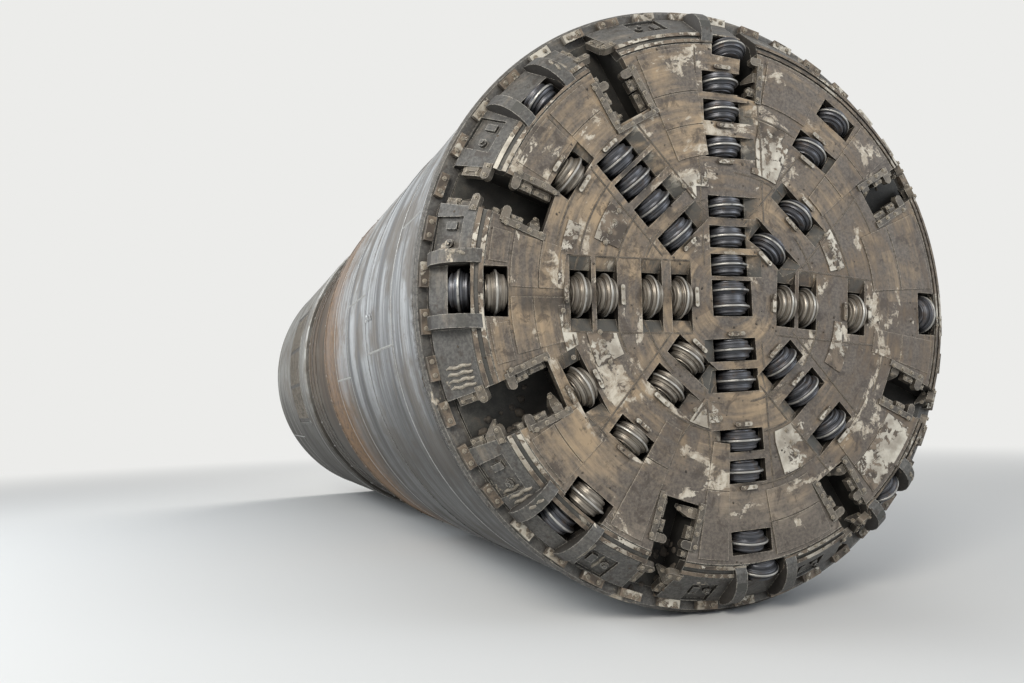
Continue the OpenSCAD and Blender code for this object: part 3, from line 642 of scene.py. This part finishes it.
def make_camera():
    """The camera that took the photograph."""
    data = bpy.data.cameras.new("photo_camera")
    data.lens = CAMERA_LENS_MM
    data.sensor_width = SENSOR_MM
    data.clip_end = 500
    camera = add_object("photo_camera", data)
    level = Euler((math.pi / 2 + CAMERA_PITCH, 0, CAMERA_HEADING)).to_matrix()
    turned = level @ Matrix.Rotation(CAMERA_ROLL, 3, "Z")
    camera.matrix_world = Matrix.Translation(CAMERA_AT) @ turned.to_4x4()
    bpy.context.scene.camera = camera


def make_studio(floor_z):
    """A pale floor that fades into a pale world, as the camera and shiny metal see them.

    All other rays meet a dimmer, bluish world, which lights the machine beside the lamps.
    """
    half = FLOOR_SIZE / 2
    signs = ((-1, -1), (1, -1), (1, 1), (-1, 1))
    floor_mesh = bpy.data.meshes.new("studio_floor")
    floor_mesh.from_pydata([(x * half, y * half, floor_z) for x, y in signs], [], [(0, 1, 2, 3)])
    s = Shader("studio_floor")
    away = s.distance(s.x, s.y + -MACHINE_MIDDLE_Y)
    faded = s.step(away, FADE_FROM, FADE_TO) * s.eye_rays()
    backdrop = s.node("ShaderNodeEmission", 0, {"Color": BACKDROP})
    surface = s.node("ShaderNodeMixShader", 0, {0: faded, 1: s.plastic(FLOOR_COLOR, 0.9), 2: backdrop})
    s.show("ShaderNodeOutputMaterial", surface)
    floor_mesh.materials.append(s.material)
    floor = add_object("studio_floor", floor_mesh)

    world = bpy.data.worlds.new("studio")
    bpy.context.scene.world = world
    world.use_nodes = True
    w = Nodes(world.node_tree)
    lit = w.node("ShaderNodeBackground", 0, {"Color": WORLD_LIGHT, "Strength": WORLD_STRENGTH})
    shown = w.node("ShaderNodeBackground", 0, {"Color": BACKDROP, "Strength": 1})
    w.show("ShaderNodeOutputWorld", w.node("ShaderNodeMixShader", 0, {0: w.eye_rays(), 1: lit, 2: shown}))


def make_lamps():
    for name, at, target, size, power, color in LAMPS:
        data = bpy.data.lights.new(name, "AREA")
        data.size = size
        data.energy = power
        data.color = color
        lamp = add_object(name, data)
        lamp.location = at
        lamp.rotation_euler = (Vector(target) - Vector(at)).to_track_quat("-Z", "Y").to_euler()


class Shape:
    """Closed forms gathered into the mesh of one piece."""

    def __init__(self):
        self.points = []
        self.faces = []

    def add(self, points, faces, place=Matrix.Identity(4)):
        first = len(self.points)
        self.points += [place @ Vector(point) for point in points]
        self.faces += [[first + i for i in face] for face in faces]

    def loft(self, points, n, place=Matrix.Identity(4)):
        """Joins rings of n points each, and closes the first and the last."""
        last = len(points) - n
        faces = [list(range(n - 1, -1, -1)), list(range(last, last + n))]
        for low in range(0, last, n):
            faces += walls(low, n)
        self.add(points, faces, place)

    def lathe(self, outline, count, place=Matrix.Identity(4), loop=False):
        """Turns an outline of (radius, height) round local Z; a radius of 0 closes an end."""
        points = []
        rings = []
        for radius, height in outline:
            here = count if radius else 1
            rings.append([len(points) + i % here for i in range(count + 1)])
            for i in range(here):
                turn = 2 * math.pi * i / count
                points.append((radius * math.cos(turn), radius * math.sin(turn), height))
        faces = []
        for low, high in zip(rings, rings[1:] + (rings[:1] if loop else [])):
            for i in range(count):
                corners = [low[i], low[i + 1], high[i + 1], high[i]]
                faces.append([c for k, c in enumerate(corners) if c != corners[k - 1]])
        self.add(points, [face for face in faces if len(face) > 2], place)

    def block(self, length, width, height, place, edge):
        """A block on the surface with its corners and upper edges broken, its foot sunk a little."""
        points = []
        for inset, z in ((0, -BLOCK_SINK), (0, height - edge), (edge, height)):
            half_l = length / 2 - inset
            half_w = width / 2 - inset
            for k, (sx, sy) in enumerate(((1, 1), (-1, 1), (-1, -1), (1, -1))):
                on_long = (sx * (half_l - edge), sy * half_w, z)
                on_short = (sx * half_l, sy * (half_w - edge), z)
                points += [on_short, on_long] if k % 2 == 0 else [on_long, on_short]
        self.loft(points, 8, place)

    def bolt(self, place, size):
        """A hexagon bolt on a round washer; size is the head's radius over its corners."""
        washer = [(0, -SINK), (size * WASHER_OUTLINE[0][0], -SINK)]
        washer += [(size * radius, size * height) for radius, height in WASHER_OUTLINE]
        self.lathe(washer, 16, place)
        self.lathe([(size * radius, size * height) for radius, height in HEAD_OUTLINE], 6, place)

    def bar(self, path, width, height):
        """A flat bar with broken edges, along points given with their normals."""
        self.bead(path, width, height, flat=True)

    def bead(self, path, width, height, ripple=0.18, flat=False):
        """A rippled weld bead, or a flat bar, along points given with their normals."""
        section = BAR_SECTION if flat else WELD_SECTION
        points = []
        last = len(path) - 1
        for k, (at, normal) in enumerate(path):
            along = path[min(k + 1, last)][0] - path[max(k - 1, 0)][0]
            side = normal.cross(along).normalized()
            swell = 1 if flat else 1 + ripple * field(at * 43) + 0.10 * math.sin(k * 2.4)
            taper = 1 if flat else min(1, 0.45 + 0.3 * min(k, last - k))
            for across, up in section:
                out = normal * (up * height * swell * taper)
                points.append(at + side * (across * width * swell * taper) + out)
        self.loft(points, len(section))

    def lump(self, place, size, detail=2):
        """A clod of muck, flattened against the surface it sticks to."""
        seed = Vector([random.uniform(-50, 50) for _ in range(3)])
        corners, faces = CLODS[detail]
        points = []
        for corner in corners:
            x, y, z = corner
            swell = 1 + 0.42 * field(corner * 1.3 + seed) + 0.2 * field(corner * 3.4 + seed)
            flat = CLOD_OVER if z > 0 else CLOD_UNDER
            points.append((x * swell * size, y * swell * size * CLOD_WIDTH, z * swell * size * flat))
        self.add(points, faces, place)

    def sector(self, inner, outer, first, last, thick, edge, y):
        """A flat plate on a plane that faces -Y, between two radii and two angles, its edges broken."""
        count = max(2, round((last - first) / SECTOR_STEP))
        points = []
        for inset, lift in ((0, -SINK), (0, thick - edge), (edge, thick)):
            for radius, angles in ((outer - inset, range(count + 1)), (inner + inset, range(count, -1, -1))):
                cut = math.degrees(inset / radius)
                for i in angles:
                    angle = first + cut + (last - first - 2 * cut) * i / count
                    points.append(polar(angle, radius, y - lift))
        n = 2 * (count + 1)
        top = 2 * n
        faces = []
        for i in range(count):
            j = n - 1 - i
            faces.append([top + i, top + i + 1, top + j - 1, top + j])
            faces.append([j, j - 1, i + 1, i])
        self.add(points, faces + walls(0, n) + walls(n, n))

    def mesh(self, name, crease):
        """The forms as one mesh, smooth but for edges that bend by more than the crease in degrees."""
        mesh = bpy.data.meshes.new(name)
        mesh.from_pydata(self.points, [], self.faces)
        work = bmesh.new()
        work.from_mesh(mesh)
        bmesh.ops.recalc_face_normals(work, faces=work.faces)
        work.to_mesh(mesh)
        work.free()
        mesh.polygons.foreach_set("use_smooth", [True] * len(mesh.polygons))
        mesh.set_sharp_from_angle(angle=math.radians(crease))
        return mesh

    def piece(self, name, body, material, slot, crease=32):
        """Makes the piece and lets it ride on a body."""
        mesh = self.mesh(name, crease)
        mesh.materials.append(material)
        place_piece(name, mesh, Matrix.Identity(4), body)


def place_piece(name, mesh, place, body):
    """Makes an object that rides on a body, and returns it."""
    obj = add_object(name, mesh)
    obj.matrix_world = place
    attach(obj, body)
    return obj


def clod(detail):
    """Points and faces of a ball of triangles."""
    ball = bmesh.new()
    bmesh.ops.create_icosphere(ball, subdivisions=detail, radius=1)
    points = [vert.co.copy() for vert in ball.verts]
    faces = [[vert.index for vert in face.verts] for face in ball.faces]
    ball.free()
    return points, faces


class Ground:
    """The surface of some CAD nodes, found along a ray."""

    def __init__(self, *names):
        points = []
        faces = []
        for name in names:
            mesh = frame["nodes"][name].data
            first = len(points)
            points += [vert.co.copy() for vert in mesh.vertices]
            faces += [[first + i for i in poly.vertices] for poly in mesh.polygons]
        self.tree = BVHTree.FromPolygons(points, faces)

    def find(self, start, direction, reach=2):
        """(point, normal towards the start) of the first hit, or None."""
        at, normal, _, _ = self.tree.ray_cast(start, direction, reach)
        if at is None:
            return None
        return at, normal if normal.dot(direction) < 0 else -normal

    def front(self, angle, radius):
        """The same straight in front of a point of the head."""
        return self.find(polar(angle, radius, FACE_Y - RAY_START), BACKWARD)


def runs(samples, jump=0.012, bend=0.97, fewest=5):
    """Splits surface samples into stretches without jumps and bends, and drops those with too few samples."""
    stretches = [[]]
    for here in samples:
        last = stretches[-1][-1] if stretches[-1] else None
        step = 0 if here is None or last is None else abs((here[0] - last[0]).dot(last[1]))
        broken = here is None or (last and (step > jump or here[1].dot(last[1]) < bend))
        if broken:
            stretches.append([])
        if here is not None and not (broken and last is None):
            stretches[-1].append(here)
    return [stretch for stretch in stretches if len(stretch) >= fewest]


def tops(name):
    """The main front-facing flat of each separate solid of a CAD node.

    Each is (middle, normal, direction of its length, half its length, half its width).
    """
    mesh = frame["nodes"][name].data
    names = {}
    index = [names.setdefault(tuple(round(c, 5) for c in vert.co), len(names)) for vert in mesh.vertices]
    parent = list(range(len(names)))

    def root(i):
        while parent[i] != i:
            parent[i] = parent[parent[i]]
            i = parent[i]
        return i

    for poly in mesh.polygons:
        corners = [root(index[i]) for i in poly.vertices]
        for corner in corners[1:]:
            parent[root(corner)] = root(corners[0])
    flats = {}
    for poly in mesh.polygons:
        if poly.normal.y < FRONT_FACING:
            solid = root(index[poly.vertices[0]])
            level = round(poly.normal.dot(poly.center), 3)
            key = (tuple(round(c, 2) for c in poly.normal), level)
            flats.setdefault(solid, {}).setdefault(key, []).append(poly)
    found = []
    for solid in flats.values():
        polys = max(solid.values(), key=lambda group: sum(poly.area for poly in group))
        area = sum(poly.area for poly in polys)
        middle = sum((poly.center * poly.area for poly in polys), Vector()) / area
        normal = polys[0].normal.copy()
        outward = Vector((middle.x, 0, middle.z))
        outward = (outward - normal * outward.dot(normal)).normalized()
        around = normal.cross(outward)
        corners = [mesh.vertices[i].co - middle for poly in polys for i in poly.vertices]
        half_out = max(abs(corner.dot(outward)) for corner in corners)
        half_round = max(abs(corner.dot(around)) for corner in corners)
        if half_out > half_round:
            found.append((middle, normal, outward, half_out, half_round))
        else:
            found.append((middle, normal, around, half_round, half_out))
    return found


def disc_cutter(name, length, rings, wear):
    """A cutter turned about local Z, with its steel rings blunted by wear and chipped at the tip."""
    half = length / 2
    left = [(radius, -half + step) for step, radius in HUB_END]
    outline = list(left)
    for ring in rings:
        side = [(radius, ring + along) for along, radius in RING_SIDE]
        outline += side + [(radius, 2 * ring - along) for radius, along in reversed(side)]
    outline += [(radius, -along) for radius, along in reversed(left)]
    shape = Shape()
    shape.lathe(outline, CUTTER_SEGMENTS, loop=True)
    shift = Vector((wear * CHIP_SHIFT, 0, 0))
    for point in shape.points:
        radius = math.hypot(point.x, point.y)
        if radius > BLUNT_FROM_R:
            share = (radius - BLUNT_FROM_R) / (RING_R - BLUNT_FROM_R)
            chip = max(0, field(point * CHIP_SCALE + shift) - CHIP_LEVEL) * CHIP_DEPTH
            point.xy *= 1 - share * (wear + chip) / radius
    return shape.mesh(name, crease=28)


def make_cutters(dark, bright):
    """Puts a turned cutter at each cutter's joint, in place of its plain solid."""
    single = []
    for i, wear in enumerate(CUTTER_WEARS):
        single.append(disc_cutter(f"disc_cutter_{i}", HUB_LENGTH, (0,), wear))
    double = disc_cutter("double_disc_cutter", CENTRE_HUB_LENGTH, CENTRE_RINGS, CENTRE_WEAR)
    for k, (node, joint) in enumerate(sorted(CUTTER_JOINTS.items())):
        mesh = (double if node == "centre_cutter" else single[k % len(single)]).copy()
        mesh.transform(Matrix.Rotation(random.uniform(0, 2 * math.pi), 4, "Z"))
        is_gauge = node[-2] == "g"
        mesh.materials.append(bright if node.startswith(BRIGHT_ROWS) and not is_gauge else dark)
        place = stand(Vector(joint["pos_m"]), Vector(joint["axis"]), BACKWARD)
        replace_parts(place_piece(f"{node}_rings", mesh, place, node), node)


def make_head_fasteners(material):
    """Bolts on the lips' teeth and bars, on the saddles and on the rim's wear blocks."""
    shape = Shape()
    for node in ("scraper_teeth", "wear_blocks"):
        for middle, normal, along, half_long, half_short in tops(node):
            if half_long > BOLTED_HALF_LONG or half_short < BOLTED_HALF_SHORT:
                continue
            spots = (-0.8, -0.27, 0.27, 0.8)
            if half_long < ONE_BOLT_HALF:
                spots = (0,)
            elif half_long < TWO_BOLTS_HALF:
                spots = (-0.55, 0.55)
            for spot in spots:
                place = stand(middle + along * half_long * spot, normal, along)
                turned = place @ Matrix.Rotation(random.uniform(0, 1), 4, "Z")
                shape.bolt(turned, min(LARGEST_HEAD_BOLT, half_short * 0.55))
    shape.piece("head_bolts", "cutterhead", material, "wear_steel")


def make_cover_plates(tan, pale):
    """Thin cover plates on the flat of the face, with open joints between them."""
    plates = {"cover_plates": (Shape(), tan), "painted_cover_plates": (Shape(), pale)}
    for first, last, radii in COVER_PLATES:
        for inner, outer in zip(radii, radii[1:]):
            cut = math.degrees(COVER_GAP / inner)
            kind = "painted_cover_plates" if random.random() < PAINTED_SHARE else "cover_plates"
            thick = COVER_T * random.uniform(0.8, 1.4)
            plate = (inner + COVER_GAP, outer, first + cut, last - cut)
            plates[kind][0].sector(*plate, thick, COVER_EDGE, FACE_Y)
    for name, (shape, material) in plates.items():
        shape.piece(name, "cutterhead", material, "worn_face")


def make_weld_seams(material):
    """Weld beads over the face, in arcs round the axis and in lines beside the rows of cutters."""
    shape = Shape()
    for radius, first, last in SEAM_ARCS:
        count = int(math.radians(last - first) * radius / BEAD_STEP)
        for stretch in runs([GROUND.front(angle, radius) for angle in spread(first, last, count)]):
            shape.bead(stretch, *ARC_BEAD)
    for row, off, first, last in SEAM_LINES:
        out = polar(row, 1, 0)
        beside = polar(row + 90, off, FACE_Y - RAY_START)
        count = int((last - first) / BEAD_STEP)
        samples = [GROUND.find(beside + out * radius, BACKWARD) for radius in spread(first, last, count)]
        for stretch in runs(samples):
            shape.bead(stretch, *LINE_BEAD)
    shape.piece("face_weld_seams", "cutterhead", material, "worn_face")


def make_hardfacing(material):
    """Rounded, slightly wavy ribs of hard weld metal down the bevel."""
    shape = Shape()
    for first, pitch, count in RIB_ROWS:
        for k in range(count):
            samples = []
            for i, radius in enumerate(spread(RIB_FIRST_R, RIB_LAST_R, RIB_STEPS)):
                samples.append(GROUND.front(first + pitch * k + 0.12 * math.sin(i), radius))
            for stretch in runs(samples, jump=0.02):
                shape.bead(stretch, *RIB_BEAD)
    shape.piece("hardfacing_ribs", "cutterhead", material, "gauge_steel")


def make_head_muck(material):
    """Muck packed into the lower corners of the bucket openings and caked on the face."""
    shape = Shape()
    inside = Ground("cutter_housings", "head_frame", "face_plate", "gauge_ring")
    for angle, half_width in BUCKETS:
        for _ in range(BUCKET_CLODS):
            radius = random.uniform(*BUCKET_MUCK_RS)
            aside = random.uniform(-half_width, half_width) * 0.8
            start = polar(angle, radius, random.uniform(*BUCKET_MUCK_YS)) + polar(angle + 90, aside, 0)
            towards = Vector((random.uniform(-0.3, 0.3), random.uniform(0, 0.8), -1)).normalized()
            found = inside.find(start, towards, reach=1)
            if found:
                spin = Vector((random.uniform(-1, 1), random.uniform(-1, 1), random.uniform(-1, 1)))
                shape.lump(stand(*found, spin), random.uniform(0.02, 0.062))
    for _ in range(FACE_FLECKS):
        found = GROUND.front(random.uniform(0, 360), FACE_MUCK_R * math.sqrt(random.random()))
        if found and found[1].y < FRONT_FACING and found[0].y < FACE_MUCK_Y:
            spin = Vector((random.uniform(-1, 1), 0.1, random.uniform(-1, 1)))
            shape.lump(stand(*found, spin), random.uniform(0.006, 0.020), detail=1)
    shape.piece("head_muck", "cutterhead", material, "inner_steel", crease=60)


def ring_path(radius, y, first=0, last=360, step=2):
    """Points round a shield skin, with their normals."""
    count = max(3, round((last - first) / step))
    return [(polar(angle, radius, y), polar(angle, 1, 0)) for angle in spread(first, last, count)]


def long_path(radius, angle, first_y, last_y, step=0.04):
    """Points along a shield skin, with their normals."""
    count = round(abs(last_y - first_y) / step)
    return [(polar(angle, radius, y), polar(angle, 1, 0)) for y in spread(first_y, last_y, count)]


def make_shield_seams(body, radius, rings, lines, material):
    """Weld seams round a shield's skin and along it."""
    paths = [ring_path(radius, y, step=0.6) for y in rings]
    for first_y, last_y, angles in lines:
        paths += [long_path(radius, angle, first_y, last_y) for angle in angles]
    seams = Shape()
    for path in paths:
        seams.bead(path, *SEAM_BEAD)
    seams.piece(f"{body}_seams", body, material, "shield_steel")


def make_front_shield(weld, steel, muck):
    """Weld seams, rims of the grease ports, straps and the muck packed against the front edge."""
    make_shield_seams("front_shield", SHIELD_R, FRONT_RING_SEAMS, FRONT_LONG_SEAMS, weld)
    fittings = Shape()
    for angle in PORT_ANGLES:
        for y in PORT_YS:
            fittings.lathe(PORT_RIM, 32, on_skin(angle, SHIELD_R, y), loop=True)
    rear_y = SHIELD_REAR_Y - REAR_STRAP_GAP
    for y in (rear_y, SHIELD_SEAM_Y - SEAM_STRAP_GAP):
        fittings.bar(ring_path(SHIELD_R, y), *STRAP)
    for i in range(STRAP_BOLTS):
        fittings.bolt(on_skin(i * 360 / STRAP_BOLTS, SHIELD_R + STRAP[1] - SINK, rear_y), size=0.016)
    fittings.piece("front_shield_fittings", "front_shield", steel, "shield_steel")
    clods = Shape()
    for _ in range(LIP_CLODS):
        angle = random.uniform(0, 360)
        at = polar(angle, random.uniform(*LIP_MUCK_RS), SHIELD_FRONT_Y)
        clods.lump(stand(at, FORWARD, polar(angle + 90, 1, 0)), random.uniform(0.018, 0.05))
    clods.piece("shield_lip_muck", "front_shield", muck, "inner_steel", crease=60)


def make_inner_skin(steel):
    """Straps round the part of the telescopic skin that never slides into the front shield."""
    straps = Shape()
    for y, width in TELESCOPE_STRAPS:
        straps.bar(ring_path(INNER_R, y), width, TELESCOPE_STRAP_HEIGHT)
    for i in range(TELESCOPE_BOLTS):
        angle = i * 360 / TELESCOPE_BOLTS + 3
        for y in TELESCOPE_BOLT_YS:
            straps.bolt(on_skin(angle, INNER_R + TELESCOPE_STRAP_HEIGHT - SINK, y), size=0.015)
    straps.piece("telescope_bands", "rear_shield", steel, "inner_skin")


def make_rear_shield(weld, steel):
    """Weld seams, frames round the gripper windows and a strap at the tail."""
    make_shield_seams("rear_shield", REAR_R, REAR_RING_SEAMS, REAR_LONG_SEAMS, weld)
    frames = Shape()
    for middle in (0, 180):
        for y in FRAME_BAR_YS:
            around = (middle - FRAME_HALF_ANGLE, middle + FRAME_HALF_ANGLE)
            frames.bar(ring_path(REAR_R, y, *around, step=1.5), *FRAME_BAR)
        for side in (-FRAME_SIDE_ANGLE, FRAME_SIDE_ANGLE):
            frames.bar(long_path(REAR_R, middle + side, *FRAME_YS, step=0.2), *FRAME_BAR)
        for angle in FRAME_BOLT_ANGLES:
            for y in FRAME_BAR_YS:
                frames.bolt(on_skin(middle + angle, REAR_R + FRAME_BAR[1] - SINK, y), size=0.014)
    frames.bar(ring_path(REAR_R, TAIL_STRAP_Y), *TAIL_STRAP)
    frames.piece("rear_shield_fittings", "rear_shield", steel, "shield_steel")


def make_gussets(paint):
    """Gussets between the rear bulkhead and the tail's skin."""
    gussets = Shape()
    for i in range(RAM_COUNT):
        angle = i * 360 / RAM_COUNT
        out = polar(angle, 1, 0)
        side = polar(angle + 90, 1, 0)
        corners = [out * radius + Vector((0, y, 0)) for radius, y in GUSSET]
        points = [corner + side * s for s in (-GUSSET_HALF, GUSSET_HALF) for corner in corners]
        gussets.loft(points, len(GUSSET))
    gussets.piece("bulkhead_gussets", "rear_shield", paint, "frame_steel")


def make_rams(steel, chrome, rubber):
    """The rams' collars, glands, rods, pads, valve blocks and pipes."""
    glands, rods, pads = Shape(), Shape(), Shape()
    bore = RAM_BODY_R - 0.01
    rod_bore = RAM_ROD_R - 0.004
    sleeve_r = RAM_ROD_R + 0.0015
    front = RAM_BODY_L
    end = RAM_BODY_L + RAM_ROD_L
    neck = [(rod_bore, front - 0.01), (GLAND_R, front - 0.01), (GLAND_R, front + 0.03), (0.118, front + 0.05)]
    neck.append((rod_bore, front + 0.05))
    rod = [(RAM_ROD_R, front), (sleeve_r, front + 0.004), (sleeve_r, end - 0.002), (RAM_ROD_R - 0.003, end)]
    for i in range(RAM_COUNT):
        angle = (i + 0.5) * 360 / RAM_COUNT
        axis = facing_back(angle, RAM_RADIUS, 0)
        for z, length in COLLARS:
            outer = RAM_BODY_R + 0.026
            collar = [(bore, z), (RAM_BODY_R + 0.02, z), (outer, z + 0.006), (outer, z + length - 0.01)]
            collar += [(RAM_BODY_R + 0.018, z + length), (bore, z + length)]
            glands.lathe(collar, 40, axis, loop=True)
        glands.lathe(neck, 40, axis, loop=True)
        for k in range(GLAND_BOLTS):
            turned = axis @ Matrix.Rotation(k * math.pi * 2 / GLAND_BOLTS, 4, "Z")
            glands.bolt(turned @ Matrix.Translation((GLAND_BOLT_RING_R, 0, front + 0.028)), size=0.010)
        rods.lathe(rod, 48, axis, loop=True)
        pads.block(*PAD_SIZE, axis @ Matrix.Translation((0, 0, end + RAM_SHOE_L)), edge=0.012)
        valves = axis @ Matrix.Translation((-RAM_BODY_R - 0.004, 0, VALVE_BLOCK_Z))
        glands.block(*VALVE_BLOCK_SIZE, valves @ Matrix.Rotation(-math.pi / 2, 4, "Y"), edge=0.008)
        for aside in PIPES_ASIDE:
            first, last = [axis @ Vector((-RAM_BODY_R - PIPE_OUT, aside, z)) for z in PIPE_ENDS]
            path = []
            for share in spread(0, 1, PIPE_STEPS):
                dip = PIPE_DIP * (1 - min(1, 6 * min(share, 1 - share))) ** 2
                path.append((first.lerp(last, share) - polar(angle, dip, 0), polar(angle, -1, 0)))
            glands.bead(path, *PIPE_BEAD)
    glands.piece("ram_fittings", "rear_shield", steel, "frame_steel")
    rods.piece("ram_rods", "rear_shield", chrome, "shield_steel")
    pads.piece("ram_shoe_pads", "rear_shield", rubber, "inner_steel")


def make_shoes(steel):
    """Grip bars on the gripper shoes."""
    for name, middle in (("gripper_shoe_right", 0), ("gripper_shoe_left", 180)):
        bars = Shape()
        for k in range(GRIP_ROWS):
            for part in (-1, 0, 1):
                first = middle + part * GRIP_STEP_ANGLE - GRIP_HALF_ANGLE
                last = first + 2 * GRIP_HALF_ANGLE
                path = ring_path(REAR_R, GRIP_FIRST_Y - k * GRIP_STEP_Y, first, last, step=1.6)
                bars.bar(path, *GRIP_BAR)
        bars.piece(f"{name}_bars", name, steel, "gauge_steel")


def make_drive(steel):
    """Gear cases' flanges and cooling ribs on the drive motors behind the front bulkhead."""
    cases = Shape()
    inner, outer = MOTOR_CASE_R, MOTOR_RING_OUTER_R
    edge = 0.004
    for i in range(MOTOR_COUNT):
        axis = facing_back(i * 360 / MOTOR_COUNT, MOTOR_RING_R, MOTOR_FRONT_Y)
        for z, wide in MOTOR_RINGS:
            outline = [(inner, z), (outer - edge, z), (outer, z + edge), (outer, z + wide - edge)]
            outline += [(outer - edge, z + wide), (inner, z + wide)]
            cases.lathe(outline, 32, axis, loop=True)
    cases.piece("motor_cases", "front_shield", steel, "frame_steel")


random.seed(SEED)
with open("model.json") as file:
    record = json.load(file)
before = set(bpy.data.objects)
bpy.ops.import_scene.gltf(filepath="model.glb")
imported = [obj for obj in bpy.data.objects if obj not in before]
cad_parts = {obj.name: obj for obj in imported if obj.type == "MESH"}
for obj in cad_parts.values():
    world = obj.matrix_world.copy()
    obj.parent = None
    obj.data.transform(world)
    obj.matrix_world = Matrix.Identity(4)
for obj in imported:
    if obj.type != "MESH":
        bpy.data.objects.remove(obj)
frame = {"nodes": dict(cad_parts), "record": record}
cad_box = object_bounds()
FACE_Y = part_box("face_plate")[0].y
GROUND = Ground("face_plate", "gauge_ring", "wear_blocks")
CLODS = {detail: clod(detail) for detail in (1, 2)}
CUTTER_JOINTS = {
    joint["child"]: joint
    for joint in frame["record"]["behaviour"]["joints"]
    if joint["child"].startswith("cutter_") or joint["child"] == "centre_cutter"
}

make_camera()
make_studio(cad_box[0][2] - FLOOR_GAP)
make_lamps()

face_mud = scraped_plate(
    "face_mud", (84, 71, 58), (157, 137, 110), (72, 66, 60), (108, 99, 89),
    mud_share=0.28, edge_color=(184, 174, 156),
)
gauge_mud = scraped_plate(
    "gauge_mud", (84, 78, 71), (136, 126, 112), (62, 61, 59), (98, 96, 92),
    mud_share=0.16, edge_color=(192, 187, 175),
)
paint = chipped_paint()
dark_cutter = turned_steel("dark_cutter", (40, 41, 45), (96, 97, 101), shine=0.10)
bright_cutter = turned_steel("bright_cutter", (66, 61, 56), (150, 143, 132), shine=0.12)
front_steel = banded_skin(
    "front_skin_steel", (88, 90, 93), (178, 181, 183), metallic=0.45, dull=0.13, rust_from=-9.4
)
rear_steel = banded_skin("rear_skin_steel", (84, 82, 78), (158, 157, 152), metallic=0.4, dull=0.2)
brown = banded_skin("telescope_skin", (46, 37, 29), (92, 76, 59), metallic=0.05, dull=0.45)
METAL = {name: rough_metal(name, *look) for name, look in METALS.items()}

FINISHES = {
    "face_plate": face_mud,
    "gauge_ring": gauge_mud,
    "cutter_housings": METAL["inner_steel"],
    "cutter_shafts": METAL["inner_steel"],
    "scraper_teeth": METAL["tooth_steel"],
    "wear_blocks": paint,
    "head_frame": METAL["inner_steel"],
    "front_skin": front_steel,
    "inner_skin": brown,
    "rear_skin": rear_steel,
    "gripper_shoe_right": gauge_mud,
    "gripper_shoe_left": gauge_mud,
}
for node in frame["nodes"]:
    surface = frame["nodes"][node].data
    surface.materials.clear()
    plain = dark_cutter if node in CUTTER_JOINTS else METAL["frame_steel"]
    surface.materials.append(FINISHES.get(node, plain))

make_cutters(dark_cutter, bright_cutter)
make_head_fasteners(METAL["bolt_steel"])
make_cover_plates(face_mud, paint)
make_weld_seams(METAL["weld_metal"])
make_hardfacing(METAL["hard_weld"])
make_head_muck(METAL["muck"])
make_front_shield(METAL["shield_weld"], front_steel, METAL["muck"])
make_inner_skin(brown)
make_rear_shield(METAL["shield_weld"], rear_steel)
make_gussets(METAL["frame_steel"])
make_rams(METAL["frame_steel"], METAL["chrome_rod"], METAL["rubber_pad"])
make_shoes(METAL["tooth_steel"])
make_drive(METAL["frame_steel"])

bpy.context.scene.view_settings.view_transform = "Standard"
